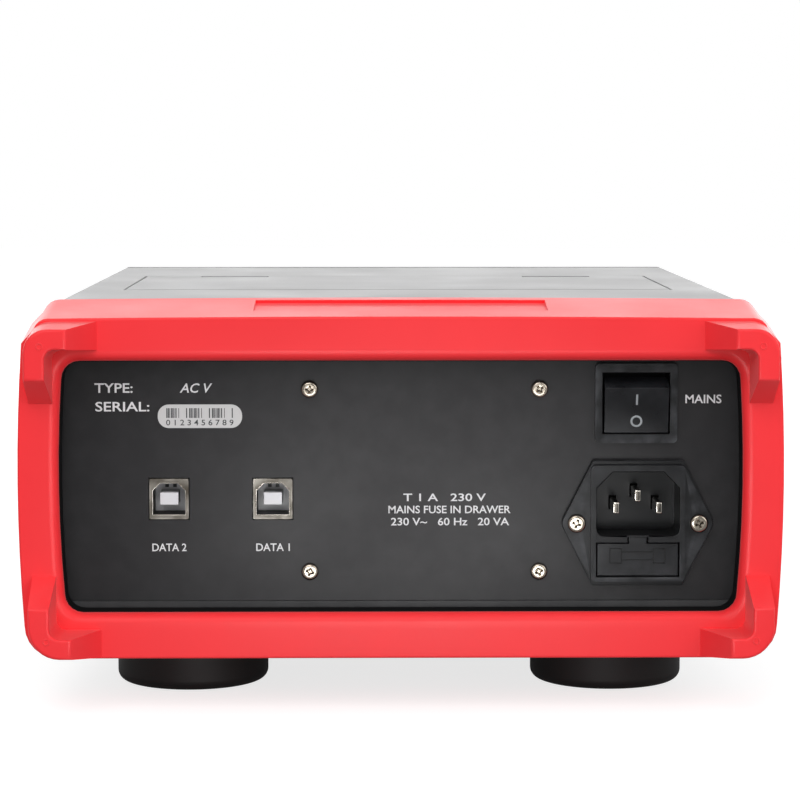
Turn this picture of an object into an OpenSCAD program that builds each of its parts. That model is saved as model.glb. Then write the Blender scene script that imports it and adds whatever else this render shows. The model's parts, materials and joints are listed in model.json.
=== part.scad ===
// Two-channel bench AC millivoltmeter. Millimetres, +Z up, the front faces -Y, the connectors +Y.
// The origin is on the ground, under the middle of the instrument.

/* [Case] */
// Width over the bowed sides at mid height
case_w = 243; // [238:1:250]
// Width of the flat top
top_w = 232; // [226:1:236]
// Width at the shoulders, where the sides start to lean in
shoulder_w = 239.6; // [238:0.2:241]
// Height of the shoulders below the top
shoulder_drop = 8; // [7:0.2:14]
// Height from the underside to the top
case_h = 111; // [108:0.5:116]
// Depth from the front seam to the rear panel
case_d = 290; // [285:1:310]
// Wall of the two shells
wall = 2.5; // [2:0.1:3]
// Radius of the two bottom edges
bottom_r = 8.5; // [7:0.5:10]
// Radius of the two top edges
top_r = 2.5; // [2:0.5:4]
// Height of the parting line above the underside
split_up = 54; // [50:1:60]
// Height of the tongue along the parting line
tongue_h = 2; // [1.5:0.5:3]
// Depth of the step that the rubber frame sits in
band_step = 3; // [2.5:0.1:3.4]
// Height of the lower lip that holds the rear panel
lip_h = 14.4; // [13.6:0.2:15]

/* [Rubber frame] */
// How far the rubber laps over the case
bumper_lap = 25; // [20:1:30]
// Thickness behind the rear panel
ring_t = 12; // [10:0.5:14]
// How far it stands proud of the case sides at its front edge
bumper_side = 3; // [2.6:0.1:3.6]
// How far it stands proud of the case top at its front edge
bumper_top = 1; // [0.8:0.1:1.6]
// How much lower the top is at the rear face
ring_fall = 4.3; // [3.5:0.1:4.6]
// How far the underside stands below the case
bumper_under = 3.2; // [2:0.1:3.5]
// Arch of the top bar
bumper_arch = 0.6; // [0.2:0.1:1]
// Width of the window at mid height
window_w = 221.5; // [216:0.5:223]
// Lower edge of the window above the case underside
window_low = 12.1; // [11:0.1:13]
// Height of the window
window_h = 81.9; // [80:0.5:82.5]
// Corner radius of the window
window_r = 6; // [4:0.5:7]
// Height of the corner horns
horn_h = 14; // [10:0.5:16]
// Width of a horn's arm along the sides, at its foot
horn_w = 7.7; // [7:0.1:8.4]
// Width of a horn's arm along the bars, at its foot
horn_bar_w = 9.2; // [8.4:0.1:9.6]
// Length of a horn's arm along the bars, at its foot
horn_across = 22.2; // [20:0.2:25]
// Length of a horn's arm along the sides, at its foot
horn_down = 26.6; // [23:0.2:28]
// How far a horn's end slopes back
horn_slope = 8.7; // [6:0.1:9.5]

/* [Rear panel] */
// Thickness of the rear panel
panel_t = 1.6; // [1.2:0.1:2]
// Transformer screws, side to side
core_pitch_x = 75; // [75:0.5:76]
// Transformer screws, up and down
core_pitch_z = 60; // [60:0.5:60.5]
// Middle of the transformer, from the middle of the case
core_x = -7.7; // [-9:0.1:-7]
// Middle of the transformer above the case underside
core_up = 54; // [53:0.2:55]
// Middle of the mains switch, from the middle of the case
switch_x = -76.7; // [-78:0.1:-76]
// Middle of the mains switch above the case underside
switch_up = 79.4; // [79:0.1:80]
// Middle of the mains inlet, from the middle of the case
inlet_x = -77.3; // [-79:0.1:-76]
// Middle of the mains inlet above the case underside
inlet_up = 40.2; // [40:0.1:41]
// Data ports, middle of the pair from the middle of the case
ports_x = 58.85; // [58:0.05:62]
// Data ports, from one middle to the other
port_pitch = 33.9; // [33:0.1:36]
// Middle of the data ports above the case underside
port_up = 48; // [46:0.2:50]

/* [Mains switch] */
// Width of the switch bezel
switch_w = 26.8; // [26:0.1:28]
// Height of the switch bezel
switch_h = 26; // [25.5:0.1:27]
// Width of the rocker's opening
rocker_w = 21.8; // [20:0.1:22.4]
// Height of the rocker's opening
rocker_h = 19.9; // [19.5:0.1:21]
// Tilt of the rocker to each side of its middle
rocker_tilt = 13; // [10:0.5:13]
// Depth of the switch body behind the panel
switch_depth = 20; // [18:1:24]

/* [Mains inlet] */
// Spacing of the inlet screws
inlet_pitch = 40; // [40:0.2:41]
// Height of the flange
flange_h = 41; // [40.4:0.1:42]
// Width of the flange's flat top and bottom
flange_flat = 29.6; // [28:0.2:31]
// Thickness of the flange
flange_t = 3; // [2.5:0.1:3.5]
// Width of the raised block
block_w = 30.8; // [30.2:0.1:31]
// Height of the raised block
block_h = 38.3; // [38:0.1:39]
// How far the block stands behind the panel's face
block_t = 4.6; // [4:0.1:5.5]
// Width of the plug socket
socket_w = 27.2; // [26.6:0.1:27.6]
// Height of the plug socket
socket_h = 21; // [20.6:0.1:21.4]
// Depth of the plug socket
socket_d = 17; // [16:0.5:19]
// Depth of the inlet body behind the panel
inlet_depth = 30; // [28:1:34]
// Width of the fuse drawer
drawer_w = 26.4; // [25.8:0.1:26.8]
// Height of the fuse drawer
drawer_h = 10.6; // [10.2:0.1:11]
// How far the fuse drawer pulls out
drawer_pull = 24; // [20:1:25]

/* [Data ports] */
// Width of the metal shell
port_w = 12.8; // [12:0.1:13.2]
// Height of the metal shell
port_h = 13.3; // [12.6:0.1:13.6]
// Sheet of the metal shell
port_wall = 1.1; // [0.8:0.1:1.3]
// Depth behind the panel
port_d = 12; // [11:0.5:13]

/* [Storage lid] */
// Width of the lid
lid_w = 198; // [190:1:199]
// Depth of the lid
lid_d = 105.9; // [95:0.5:108]
// Rear edge of the lid, in front of the rear panel
lid_back = 105.4; // [104:0.2:110]
// Thickness of the lid
lid_t = 2.5; // [2.2:0.1:3]
// Gap round the lid
lid_gap = 0.8; // [0.7:0.1:1]
// Depth of the compartment below the lid
tray_depth = 34; // [28:1:36]
// Wall of the compartment
tray_wall = 2; // [1.6:0.1:2.4]
// Radius of the lid's hinge barrel
barrel_r = 4; // [3.8:0.1:4.2]
// Diameter of the lid's hinge pins
lid_pin_d = 3; // [2.5:0.1:3.2]
// Width of a finger scoop
scoop_w = 27; // [22:1:30]
// Finger scoops, from the middle
scoop_x = 64; // [55:1:70]

/* [Feet] */
// Diameter of a foot
foot_d = 52; // [46:1:54]
// Height of a foot, which is the ground clearance
foot_h = 21; // [19:0.5:24]
// Edge radius of a foot
foot_r = 3.5; // [2:0.5:5]
// Feet, side to side
foot_pitch_x = 143; // [138:1:146]
// Gap between a rear foot and the rubber frame
foot_gap = 1; // [0.6:0.2:5]
// Front feet, behind the front seam
foot_front = 40; // [36:1:46]
// Length of a tilt leg from its hinge
leg_l = 32; // [28:1:33]
// Width of a tilt leg
leg_w = 21; // [18:1:22]
// Thickness of a tilt leg
leg_t = 7; // [6:0.5:7]

/* [Front] */
// Depth of the front frame
bezel_d = 8; // [7:0.5:9]
// Width of the front panel
face_w = 224; // [220:1:225]
// Height of the front panel
face_h = 92; // [90:1:94]
// Thickness of the front panel
face_t = 3; // [2.5:0.1:3.2]
// Width of the display window
view_w = 150; // [146:1:154]
// Height of the display window
view_h = 44; // [42:1:46]
// Width of a key
key_w = 20; // [18:0.5:21]
// Height of a key
key_h = 9; // [8:0.5:10]
// Travel of a key
key_travel = 1.2; // [0.8:0.1:1.3]
// Outer diameter of an input socket
bnc_d = 9.6; // [9.5:0.05:9.7]
// Length of an input socket in front of the panel
bnc_l = 15; // [14:0.5:16]

/* [Inside] */
// Thickness of the circuit boards
board_t = 1.6; // [1.4:0.1:2]
// Width of the laminations
core_w = 90; // [88:0.5:90.5]
// Height of the laminations
core_h = 75; // [73:0.5:76]
// Stack of laminations
core_stack = 30; // [26:1:32]
// Spacers between panel and laminations
spacer_l = 16; // [15:0.5:18]

/* [Hidden] */
$fn = 48;
cut = 1;            // how far a cutting tool runs past what it cuts
sink = 0.4;         // how far one form runs into another that it is joined to
fit = 0.15;         // gap round pieces that only touch
slide_gap = 0.3;    // gap round pieces that move
run_gap = 0.05;     // radial gap of a pin in its bore

// Levels and half widths of the case
z0 = foot_h;
z1 = z0 + case_h;
z_split = z0 + split_up;
hw_mid = case_w / 2;
hw_top = top_w / 2;
hw_sh = shoulder_w / 2;
face_recess = 2;    // front panel behind the front frame's edge
y_panel = (case_d + bezel_d - face_recess + bnc_l - ring_t - horn_h) / 2;
y_seam = y_panel - case_d;
y_front = y_seam - bezel_d;
y_face = y_front + face_recess;
y_band = y_panel - bumper_lap;
y_ring = y_panel + ring_t;
lip_t = 1.2;        // lips of the shells behind the rear panel
rim_back = 1.2;     // lips of the shells, hidden behind the rubber's window by this much
in_band = -band_step - wall;

function arc(cx, cz, r, a0, a1, n) =
    [for (i = [0:n]) let (a = a0 + (a1 - a0) * i / n) [cx + r * cos(a), cz + r * sin(a)]];
function through(t, lo, mid, hi) = lo + (hi - lo) * t + (4 * mid - 2 * lo - 2 * hi) * t * (1 - t);
function both_sides(pts) = concat(pts, [for (i = [len(pts) - 1:-1:0]) [-pts[i][0], pts[i][1]]]);

// Right half of the body's outline, grown by g at the sides, between the heights zb and zt
side_steps = 8;
function half_outline(g, zb, zt, rb, rt, arch) =
    let (zs = zt - shoulder_drop, za = zb + rb)
    concat(
        arc(hw_sh + g - rb, za, rb, -90, 0, 6),
        [for (i = [1:side_steps - 1]) let (t = i / side_steps)
            [through(t, hw_sh, hw_mid, hw_sh) + g, za + (zs - za) * t]],
        [[hw_sh + g, zs]],
        arc(hw_top + g - rt, zt - rt, rt, 18, 90, 4),
        arch <= 0 ? [] : [for (i = [3:-1:0]) [hw_top * i / 4, zt + arch * (1 - pow(i / 4, 2))]]);

function body_points(g, zb, zt, arch = 0) =
    both_sides(half_outline(g, zb, zt, max(bottom_r + g, 1), max(top_r + g, 0.6), arch));

module body_outline(g, zb, zt) {
    polygon(body_points(g, zb, zt));
}

module case_outline(g) {
    body_outline(g, z0 - g, z1 + g);
}

// A flat shape drawn in X and Z, raised from y0 to y1
module along_y(y0, y1) {
    translate([0, y1, 0]) rotate([90, 0, 0]) linear_extrude(y1 - y0) children();
}

// A flat shape drawn in Y and Z, raised from x0 to x1
module along_x(x0, x1) {
    translate([x0, 0, 0]) rotate([90, 0, 90]) linear_extrude(x1 - x0) children();
}

module rod_y(x, z, y0, y1, d) {
    translate([x, y1, z]) rotate([90, 0, 0]) cylinder(h = y1 - y0, d = d);
}

module rod_x(y, z, x0, x1, d) {
    translate([x0, y, z]) rotate([90, 0, 90]) cylinder(h = x1 - x0, d = d);
}

module rod_z(x, y, za, zb, d) {
    translate([x, y, za]) cylinder(h = zb - za, d = d);
}

module block(x0, x1, y0, y1, za, zb) {
    translate([x0, y0, za]) cube([x1 - x0, y1 - y0, zb - za]);
}

// A rectangle with round corners, given by its edges
module rect(x0, x1, za, zb, r = 0) {
    if (r <= 0) {
        translate([x0, za]) square([x1 - x0, zb - za]);
    } else {
        translate([x0 + r, za]) square([x1 - x0 - 2 * r, zb - za]);
        translate([x0, za + r]) square([x1 - x0, zb - za - 2 * r]);
        for (x = [x0 + r, x1 - r], z = [za + r, zb - r]) translate([x, z]) circle(r);
    }
}

// A rectangle given by its middle and size
module middle_rect(x, z, w, h, r = 0) {
    rect(x - w / 2, x + w / 2, z - h / 2, z + h / 2, r);
}

// Case shells
post_d = 10;        // screw posts
post_x = hw_mid - 17;
post_ys = [y_seam + 20, y_panel - 42];
post_split = z0 + 14;
screw_d = 3.9;
screw_grip = 17;    // length of a case screw in the cover's post
stop_t = 2;         // ribs that the rear panel rests against
stop_h = 2.5;
head_sink = 5;      // how deep the case screws' heads lie under the case
head_bore = 9;
boss_d = 8;         // bosses under the main board
foot_boss_d = 12;
foot_boss_up = 10;
grille_n = 5;       // slots to each side in the underside
grille_pitch = 9;
grille_w = 3;
grille_l = 40;
vent_w = 3;
vent_pitch = 7;
vent_n = 14;
vent_up = 20;       // side slots above the underside
vent_h = 68;
vent_low = z0 + vent_up;
vent_high = vent_low + vent_h;
board_low = z0 + 17;             // underside of the main board
board_hw = hw_mid - 24;
board_y0 = y_seam + 14;
board_y1 = y_panel - spacer_l - core_stack - 22;
board_boss_x = board_hw - 8;
board_boss_ys = [board_y0 + 34, board_y1 - 8];

module case_shell() {
    difference() {
        union() {
            along_y(y_seam, y_band) case_outline(0);
            along_y(y_band - wall, y_panel + lip_t) case_outline(-band_step);
        }
        along_y(y_seam - cut, y_band - wall) case_outline(-wall);
        along_y(y_band - wall - cut, y_panel) case_outline(in_band);
        along_y(y_panel - cut, y_panel + lip_t + cut)
            rect(-window_w / 2 - rim_back, window_w / 2 + rim_back, z0 + lip_h,
                 z0 + window_low + window_h + 2 * rim_back, rim_back);
    }
    along_y(y_panel - panel_t - fit - stop_t, y_panel - panel_t - fit) difference() {
        case_outline(in_band + sink);
        case_outline(in_band - stop_h);
    }
}

module below_split(extra = 0) {
    block(-case_w, case_w, y_seam - case_w, y_panel + case_w, -cut, z_split + extra);
}

module side_vents() {
    for (i = [0:vent_n - 1]) {
        y = (y_seam + y_panel) / 2 + (i - (vent_n - 1) / 2) * vent_pitch;
        block(-case_w, case_w, y - vent_w / 2, y + vent_w / 2, vent_low, vent_high);
    }
}

// Strip along the parting line, between two outlines grown by outer and inner
module tongue_band(outer, inner, up) {
    intersection() {
        along_y(y_seam + 2, y_band - 2 * wall) difference() {
            case_outline(outer);
            case_outline(inner);
        }
        block(-case_w, case_w, y_seam, y_panel, z_split - cut, z_split + up);
    }
}

module bottom_case() {
    color("#8c8f93") difference() {
        union() {
            intersection() {
                difference() {
                    case_shell();
                    side_vents();
                }
                below_split();
            }
            tongue_band(-wall / 2 - fit, -wall + 0.1, tongue_h);
            for (x = [-post_x, post_x], y = post_ys)
                rod_z(x, y, z0 + wall - sink, post_split, post_d);
            for (x = [-board_boss_x, board_boss_x], y = board_boss_ys)
                rod_z(x, y, z0 + wall - sink, board_low, boss_d);
            for (p = foot_spots)
                rod_z(p[0], p[1], z0 + wall - sink, z0 + foot_boss_up, foot_boss_d);
        }
        for (x = [-post_x, post_x], y = post_ys) {
            rod_z(x, y, z0 - cut, z0 + head_sink, head_bore);
            rod_z(x, y, z0, post_split + cut, screw_d + 1.5 * screw_gap);
        }
        for (x = [-board_boss_x, board_boss_x], y = board_boss_ys)
            rod_z(x, y, board_low - board_screw_l, board_low + cut, board_screw_d + 2 * run_gap);
        for (p = foot_spots)
            rod_z(p[0], p[1], z0 - cut, z0 + foot_boss_up + cut, foot_screw_d + 2 * run_gap);
        for (i = [-grille_n:grille_n]) let (x = i * grille_pitch)
            block(x - grille_w / 2, x + grille_w / 2, post_ys[1] + 7 - grille_l, post_ys[1] + 7,
                  z0 - cut, z0 + wall + cut);
    }
}

module top_cover() {
    color("#c9cacc") difference() {
        union() {
            difference() {
                case_shell();
                side_vents();
                below_split();
                tongue_band(-wall / 2, -wall - sink, tongue_h + fit);
            }
            for (x = [-post_x, post_x], y = post_ys)
                rod_z(x, y, post_split + fit, z1 - wall + sink, post_d);
        }
        for (x = [-post_x, post_x], y = post_ys)
            rod_z(x, y, post_split, post_split + screw_grip + cut, screw_d + 2 * run_gap);
        block(-lid_w / 2 - lid_gap, lid_w / 2 + lid_gap, lid_y0 - lid_gap, lid_y1 + lid_gap,
              z1 - wall - cut, z1 + cut);
    }
}

// A solid through sections of equal point counts, each given as [y, points in X and Z], front to rear
module loft(sections) {
    n = len(sections[0][1]);
    last = len(sections) - 1;
    polyhedron(
        points = [for (s = sections, p = s[1]) [p[0], s[0], p[1]]],
        faces = concat(
            [[for (i = [n - 1:-1:0]) i]],
            [for (k = [0:last - 1], i = [0:n - 1]) let (a = k * n + i, b = k * n + (i + 1) % n)
                each [[a, b, b + n], [a, b + n, a + n]]],
            [[for (i = [0:n - 1]) last * n + i]]));
}

// Rubber frame
ring_top = z1 + bumper_top - ring_fall;
ring_low = z0 - bumper_under + 0.5;
ring_side = bumper_side - 0.7;
rim_r = 0.7;        // round of the rear rim
flare_r = 3.2;      // round of the window's rear edge
window_z0 = z0 + window_low;
window_z1 = window_z0 + window_h;

// Section of the sleeve at y, with its outline drawn in by inset
function sleeve(y, inset) =
    let (t = (y - y_band) / (y_ring - y_band))
    [y, body_points(bumper_side + (ring_side - bumper_side) * t - inset,
                    z0 - bumper_under + (ring_low - z0 + bumper_under) * t + inset,
                    z1 + bumper_top - ring_fall * t - inset, bumper_arch)];

// Window outline, bowed at the sides, grown by g
function window_points(g) = both_sides(concat(
    arc(window_w / 2 - 1.6 - window_r, window_z0 + window_r, window_r + g, -90, 0, 5),
    [for (i = [1:5]) let (t = i / 6)
        [through(t, window_w / 2 - 1.6, window_w / 2, window_w / 2 - 1.1) + g,
         window_z0 + window_r + (window_h - 2 * window_r) * t]],
    arc(window_w / 2 - 1.1 - window_r, window_z1 - window_r, window_r + g, 0, 90, 5)));

// Corner horns: an L that narrows from its foot to its face, with its outer corner at the origin and
// its arms towards -X and -Z
horn_edge = 0.8;    // round along the face
horn_top_r = 7.5;   // outer corner of the top horns
horn_low_r = 10;    // outer corner of the bottom horns
horn_fillet = 3.2;  // inner corner
horn_bar_in = 1.8;  // how much the outer side along the bars leans in
horn_in = 1;        // how much the inner sides lean in
horn_foot = 2;      // how far a horn runs into the ring
horn_under = 0.8;   // top horns, below the ring's top edge
horn_side = 2.2;    // top horns, in from the ring's shoulders
horn_lean = 0.6;    // how much further in the bottom horns are
horn_low = 0.4;     // bottom horns, above the ring's low edge

// Section of a horn at the height y over the ring, drawn in by inset
function horn_section(y, inset, r) =
    let (t = max(y, 0) / horn_h,
         top = -horn_bar_in * t - inset,
         in_x = -horn_w + horn_in * t + inset,
         in_z = -horn_bar_w + horn_in * t + inset,
         end_x = -horn_across + horn_slope * t + inset,
         end_z = -horn_down + horn_slope * t + inset,
         f = horn_fillet + inset)
    [y, concat(
        [[end_x, in_z]],
        arc(in_x - f, in_z - f, f, 90, 0, 5),
        [[in_x, end_z], [-inset, end_z]],
        arc(-inset - r, top - r, r, 0, 90, 8),
        [[end_x, top]])];

module horn(r) {
    loft(concat([horn_section(-horn_foot, 0, r), horn_section(0, 0, r)],
                [for (a = [0:30:90])
                    horn_section(horn_h - horn_edge * (1 - sin(a)), horn_edge * (1 - cos(a)), r)]));
}

module horns() {
    x = hw_sh + ring_side - horn_side;
    for (s = [0, 1]) mirror([s, 0, 0]) {
        translate([x, y_ring, ring_top - horn_under]) horn(horn_top_r);
        translate([x - horn_lean, y_ring, ring_low + horn_low]) mirror([0, 0, 1]) horn(horn_low_r);
    }
}

// Bare field let into the top, where the real frame carries a name
field_w = 96;
field_l = 20;
field_y = y_band + 5;
field_d = 0.5;

module rear_bumper() {
    fall = atan(ring_fall / (bumper_lap + ring_t));
    color("#f0484c") {
        difference() {
            loft(concat([sleeve(y_band, 0.4), sleeve(y_band + 0.4, 0)],
                        [for (a = [0:18:90]) sleeve(y_ring - rim_r * (1 - sin(a)), rim_r * (1 - cos(a)))]));
            along_y(y_band - cut, y_panel + lip_t + fit) case_outline(-band_step + fit);
            loft(concat([[y_panel, window_points(0)]],
                        [for (a = [0:18:72])
                            [y_ring - flare_r * (1 - sin(a)), window_points(flare_r * (1 - cos(a)))]],
                        [[y_ring + 0.4, window_points(flare_r + 2.5)]]));
            translate([0, y_band, z1 + bumper_top]) rotate([-fall, 0, 0])
                block(-field_w / 2, field_w / 2, field_y - y_band, field_y - y_band + field_l,
                      -field_d, field_l);
        }
        horns();
    }
}

// Rear panel with its openings
port_xs = [ports_x + port_pitch / 2, ports_x - port_pitch / 2];
port_z = z0 + port_up;
inlet_z = z0 + inlet_up;
switch_z = z0 + switch_up;
core_z = z0 + core_up;
core_screws = [for (x = [-1, 1], z = [-1, 1])
    [core_x + x * core_pitch_x / 2, core_z + z * core_pitch_z / 2]];
core_screw_d = 3;
inlet_screw_d = 3;
screw_gap = 0.4;                 // how much wider a screw's clearance hole is
port_gap = 0.3;
body_w = switch_w - 2.2;         // switch body behind the panel
body_h = switch_h - 2.4;
inlet_body_w = block_w - 2.4;    // inlet body behind the panel
inlet_body_h = block_h - 2.6;

module rear_panel() {
    y0 = y_panel - panel_t - cut;
    y1 = y_panel + cut;
    color("#37383b") difference() {
        along_y(y_panel - panel_t, y_panel - 0.05) case_outline(in_band - 2 * fit);
        for (p = core_screws) rod_y(p[0], p[1], y0, y1, core_screw_d + screw_gap);
        for (s = [-1, 1])
            rod_y(inlet_x + s * inlet_pitch / 2, inlet_z, y0, y1, inlet_screw_d + screw_gap);
        along_y(y0, y1) {
            for (x = port_xs) middle_rect(x, port_z, port_w + 2 * port_gap, port_h + 2 * port_gap);
            middle_rect(switch_x, switch_z, body_w + 2 * fit, body_h + 2 * fit);
            middle_rect(inlet_x, inlet_z, inlet_body_w + 2 * fit, inlet_body_h + 2 * fit);
        }
    }
}

// Pan-head screw along Y with a cross recess, head towards +Y, seated at y
module pan_screw_y(x, z, y, d, head_d, head_h, l) {
    translate([x, y, z]) rotate([-90, 0, 0]) pan_screw(d, head_d, head_h, l);
}

module pan_screw(d, head_d, head_h, l) {
    crown = head_d * 0.9;
    difference() {
        union() {
            translate([0, 0, -l]) cylinder(h = l + sink, d = d);
            intersection() {
                cylinder(h = head_h, d = head_d);
                translate([0, 0, head_h - crown]) sphere(crown);
            }
        }
        for (a = [0, 90]) rotate([0, 0, a])
            translate([-head_d * 0.29, -head_d * 0.065, head_h * 0.35])
                cube([head_d * 0.58, head_d * 0.13, head_h]);
    }
}

module nut_y(x, z, y, d, across, t) {
    translate([x, y, z]) rotate([90, 0, 0]) difference() {
        cylinder(h = t, d = across / cos(30), $fn = 6);
        translate([0, 0, -cut]) cylinder(h = t + 2 * cut, d = d + 2 * run_gap);
    }
}

// Transformer
core_y1 = y_panel - panel_t - spacer_l;
core_y0 = core_y1 - core_stack;
window_x = core_w / 6;           // winding window of an E-I lamination
window_up = core_w / 4;          // half its height
coil_out = 9;

module transformer_core() {
    color("#5b5f66") difference() {
        block(core_x - core_w / 2, core_x + core_w / 2, core_y0, core_y1,
              core_z - core_h / 2, core_z + core_h / 2);
        for (s = [-1, 1])
            block(core_x + s * core_w / 4 - window_x / 2, core_x + s * core_w / 4 + window_x / 2,
                  core_y0 - cut, core_y1 + cut, core_z - window_up, core_z + window_up);
        for (p = core_screws) rod_y(p[0], p[1], core_y0 - cut, core_y1 + cut, core_screw_d + screw_gap);
    }
}

coil_hx = core_w / 3 - 1.2;
coil_hz = window_up - 0.6;
leg_half = core_w / 6;
bobbin_t = 1.6;

module transformer_bobbin() {
    tube = leg_half + bobbin_t;
    color("#2f3033") difference() {
        union() {
            block(core_x - tube, core_x + tube, core_y0 - coil_out, core_y1 + coil_out,
                  core_z - coil_hz, core_z + coil_hz);
            for (z = [core_z - coil_hz, core_z + coil_hz - bobbin_t])
                block(core_x - coil_hx, core_x + coil_hx, core_y0 - coil_out, core_y1 + coil_out,
                      z, z + bobbin_t);
        }
        block(core_x - leg_half - fit, core_x + leg_half + fit, core_y0 - fit, core_y1 + fit,
              core_z - window_up - cut, core_z + window_up + cut);
    }
}

module transformer_winding() {
    h = coil_hz - bobbin_t - 2 * fit;
    hx = coil_hx - 0.6;
    tube = leg_half + bobbin_t + 0.2;
    color("#d8b13a") difference() {
        block(core_x - hx, core_x + hx, core_y0 - coil_out + 0.8, core_y1 + coil_out - 0.8,
              core_z - h, core_z + h);
        block(core_x - tube, core_x + tube, core_y0 - coil_out - cut, core_y1 + coil_out + cut,
              core_z - h - cut, core_z + h + cut);
    }
}

module transformer_spacers() {
    color("#b9bcc0") for (p = core_screws) difference() {
        rod_y(p[0], p[1], core_y1 + 0.02, y_panel - panel_t - 0.02, 7);
        rod_y(p[0], p[1], core_y1 - cut, y_panel + cut, core_screw_d + screw_gap);
    }
}

module transformer_screws() {
    color("#c9bfae") for (p = core_screws)
        pan_screw_y(p[0], p[1], y_panel, core_screw_d, 5.6, 2, panel_t + spacer_l + core_stack + 5);
}

module transformer_nuts() {
    color("#b9bcc0") for (p = core_screws)
        nut_y(p[0], p[1], core_y0 - 0.02, core_screw_d, 5.5, 2.4);
}

// Mains switch: the rocker turns about an axis along X, behind the panel's face
bezel_t = 2;
pivot_in = 5.5;
switch_y = y_panel - pivot_in;
tip_r = 12.2;
tip_a = 52 - rocker_tilt;
rocker_side_gap = 0.4;
axle_d = 3;
axle_in = 0.6;      // how far the rocker's axle runs into each side of the body
tag_w = 6.4;        // solder tags of switch and inlet
tag_l = 8;

module switch_body() {
    color("#202123") difference() {
        union() {
            along_y(y_panel, y_panel + bezel_t) middle_rect(switch_x, switch_z, switch_w, switch_h, 1.5);
            along_y(y_panel - switch_depth, y_panel + sink) middle_rect(switch_x, switch_z, body_w, body_h);
            along_y(y_panel - switch_depth - tag_l, y_panel - switch_depth + sink)
                for (z = [-7, 0, 7]) middle_rect(switch_x, switch_z + z, tag_w, 0.8);
        }
        along_y(switch_y - 6, y_panel + bezel_t + cut) middle_rect(switch_x, switch_z, rocker_w, rocker_h);
        rod_x(switch_y, switch_z, switch_x - rocker_w / 2 - axle_in - 0.2,
              switch_x + rocker_w / 2 + axle_in + 0.2, axle_d + 2 * run_gap);
    }
}

module switch_rocker() {
    side = rocker_w / 2 - rocker_side_gap;
    color("#26272a") translate([0, switch_y, switch_z]) rotate([-rocker_tilt, 0, 0]) {
        along_x(switch_x - side, switch_x + side) polygon([
            [-3.2, -2.5], [-1, -6.5], [2, -9], [tip_r * cos(tip_a), -tip_r * sin(tip_a)],
            [8.7, 0],
            [tip_r * cos(tip_a), tip_r * sin(tip_a)], [2, 9], [-1, 6.5], [-3.2, 2.5]]);
        rod_x(0, 0, switch_x - rocker_w / 2 - axle_in, switch_x + rocker_w / 2 + axle_in, axle_d);
    }
}

// Mains inlet with a fuse drawer
block_y = y_panel + block_t;
socket_low = inlet_z + block_h / 2 - 2.2 - socket_h;
socket_y = block_y - socket_d;
drawer_z0 = inlet_z - block_h / 2 + 2;
drawer_z1 = drawer_z0 + drawer_h;
drawer_in = y_panel - inlet_depth + 3;
latch_w = 6.4;                   // recess in the block over the drawer's latch
latch_h = 2.4;
latch_d = 2.2;
pin_pitch = 14;
pin_w = 2;
pin_h = 4;
pin_y = block_y - 2;
pin_up = 9;                      // line and neutral pins above the socket's floor
earth_up = 4;                    // earth pin above those two

module flange_outline() {
    tip = 4.65;
    polygon([for (s = [1, -1]) each concat(
        [[inlet_x - s * flange_flat / 2, inlet_z - s * flange_h / 2],
         [inlet_x + s * flange_flat / 2, inlet_z - s * flange_h / 2]],
        arc(inlet_x + s * inlet_pitch / 2, inlet_z, tip, s > 0 ? -36 : 144, s > 0 ? 36 : 216, 8))]);
}

module socket_outline() {
    chamfer = 5.4;
    x = socket_w / 2;
    z = socket_low;
    polygon(concat(
        arc(inlet_x - x + 2.5, z + 2.5, 2.5, 180, 270, 4),
        arc(inlet_x + x - 2.5, z + 2.5, 2.5, 270, 360, 4),
        [[inlet_x + x, z + socket_h - chamfer], [inlet_x + x - chamfer, z + socket_h],
         [inlet_x - x + chamfer, z + socket_h], [inlet_x - x, z + socket_h - chamfer]]));
}

module inlet_body() {
    color("#1c1d1f") difference() {
        union() {
            along_y(y_panel, y_panel + flange_t) flange_outline();
            along_y(y_panel, block_y) middle_rect(inlet_x, inlet_z, block_w, block_h, 1.7);
            along_y(y_panel - inlet_depth, y_panel + sink)
                middle_rect(inlet_x, inlet_z, inlet_body_w, inlet_body_h);
        }
        along_y(socket_y, block_y + cut) socket_outline();
        along_y(drawer_in, block_y + cut)
            middle_rect(inlet_x, (drawer_z0 + drawer_z1) / 2,
                        drawer_w + 2 * slide_gap, drawer_h + 2 * slide_gap);
        block(inlet_x - latch_w / 2, inlet_x + latch_w / 2, block_y - latch_d, block_y + cut,
              drawer_z1, drawer_z1 + latch_h);
        for (s = [-1, 1])
            rod_y(inlet_x + s * inlet_pitch / 2, inlet_z, y_panel - cut, y_panel + flange_t + cut,
                  inlet_screw_d + screw_gap);
        pin_blades(y_panel - inlet_depth - cut, run_gap);
    }
}

// The three blades from y to their tips, grown by g
module pin_blades(y, g) {
    low = socket_low + pin_up;
    along_y(y, pin_y) for (p = [[-pin_pitch / 2, low], [pin_pitch / 2, low], [0, low + earth_up]])
        middle_rect(inlet_x + p[0], p[1], pin_w + 2 * g, pin_h + 2 * g);
}

module inlet_pins() {
    color("#c8c4b8") pin_blades(y_panel - inlet_depth - tag_l, 0);
}

module inlet_screws() {
    color("#c9bfae") for (s = [-1, 1])
        pan_screw_y(inlet_x + s * inlet_pitch / 2, inlet_z, y_panel + flange_t, inlet_screw_d, 6, 2, 9);
}

module inlet_nuts() {
    color("#b9bcc0") for (s = [-1, 1])
        nut_y(inlet_x + s * inlet_pitch / 2, inlet_z, y_panel - panel_t - 0.02, inlet_screw_d, 5.5, 2.4);
}

fuse_r = 2.6;
fuse_l = 20;
fuse_bay = 4;                    // half the depth of the fuse's bay
fuse_y = block_y - drawer_pull + 7.4;
fuse_z = (drawer_z0 + drawer_z1) / 2 + 0.1;

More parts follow.
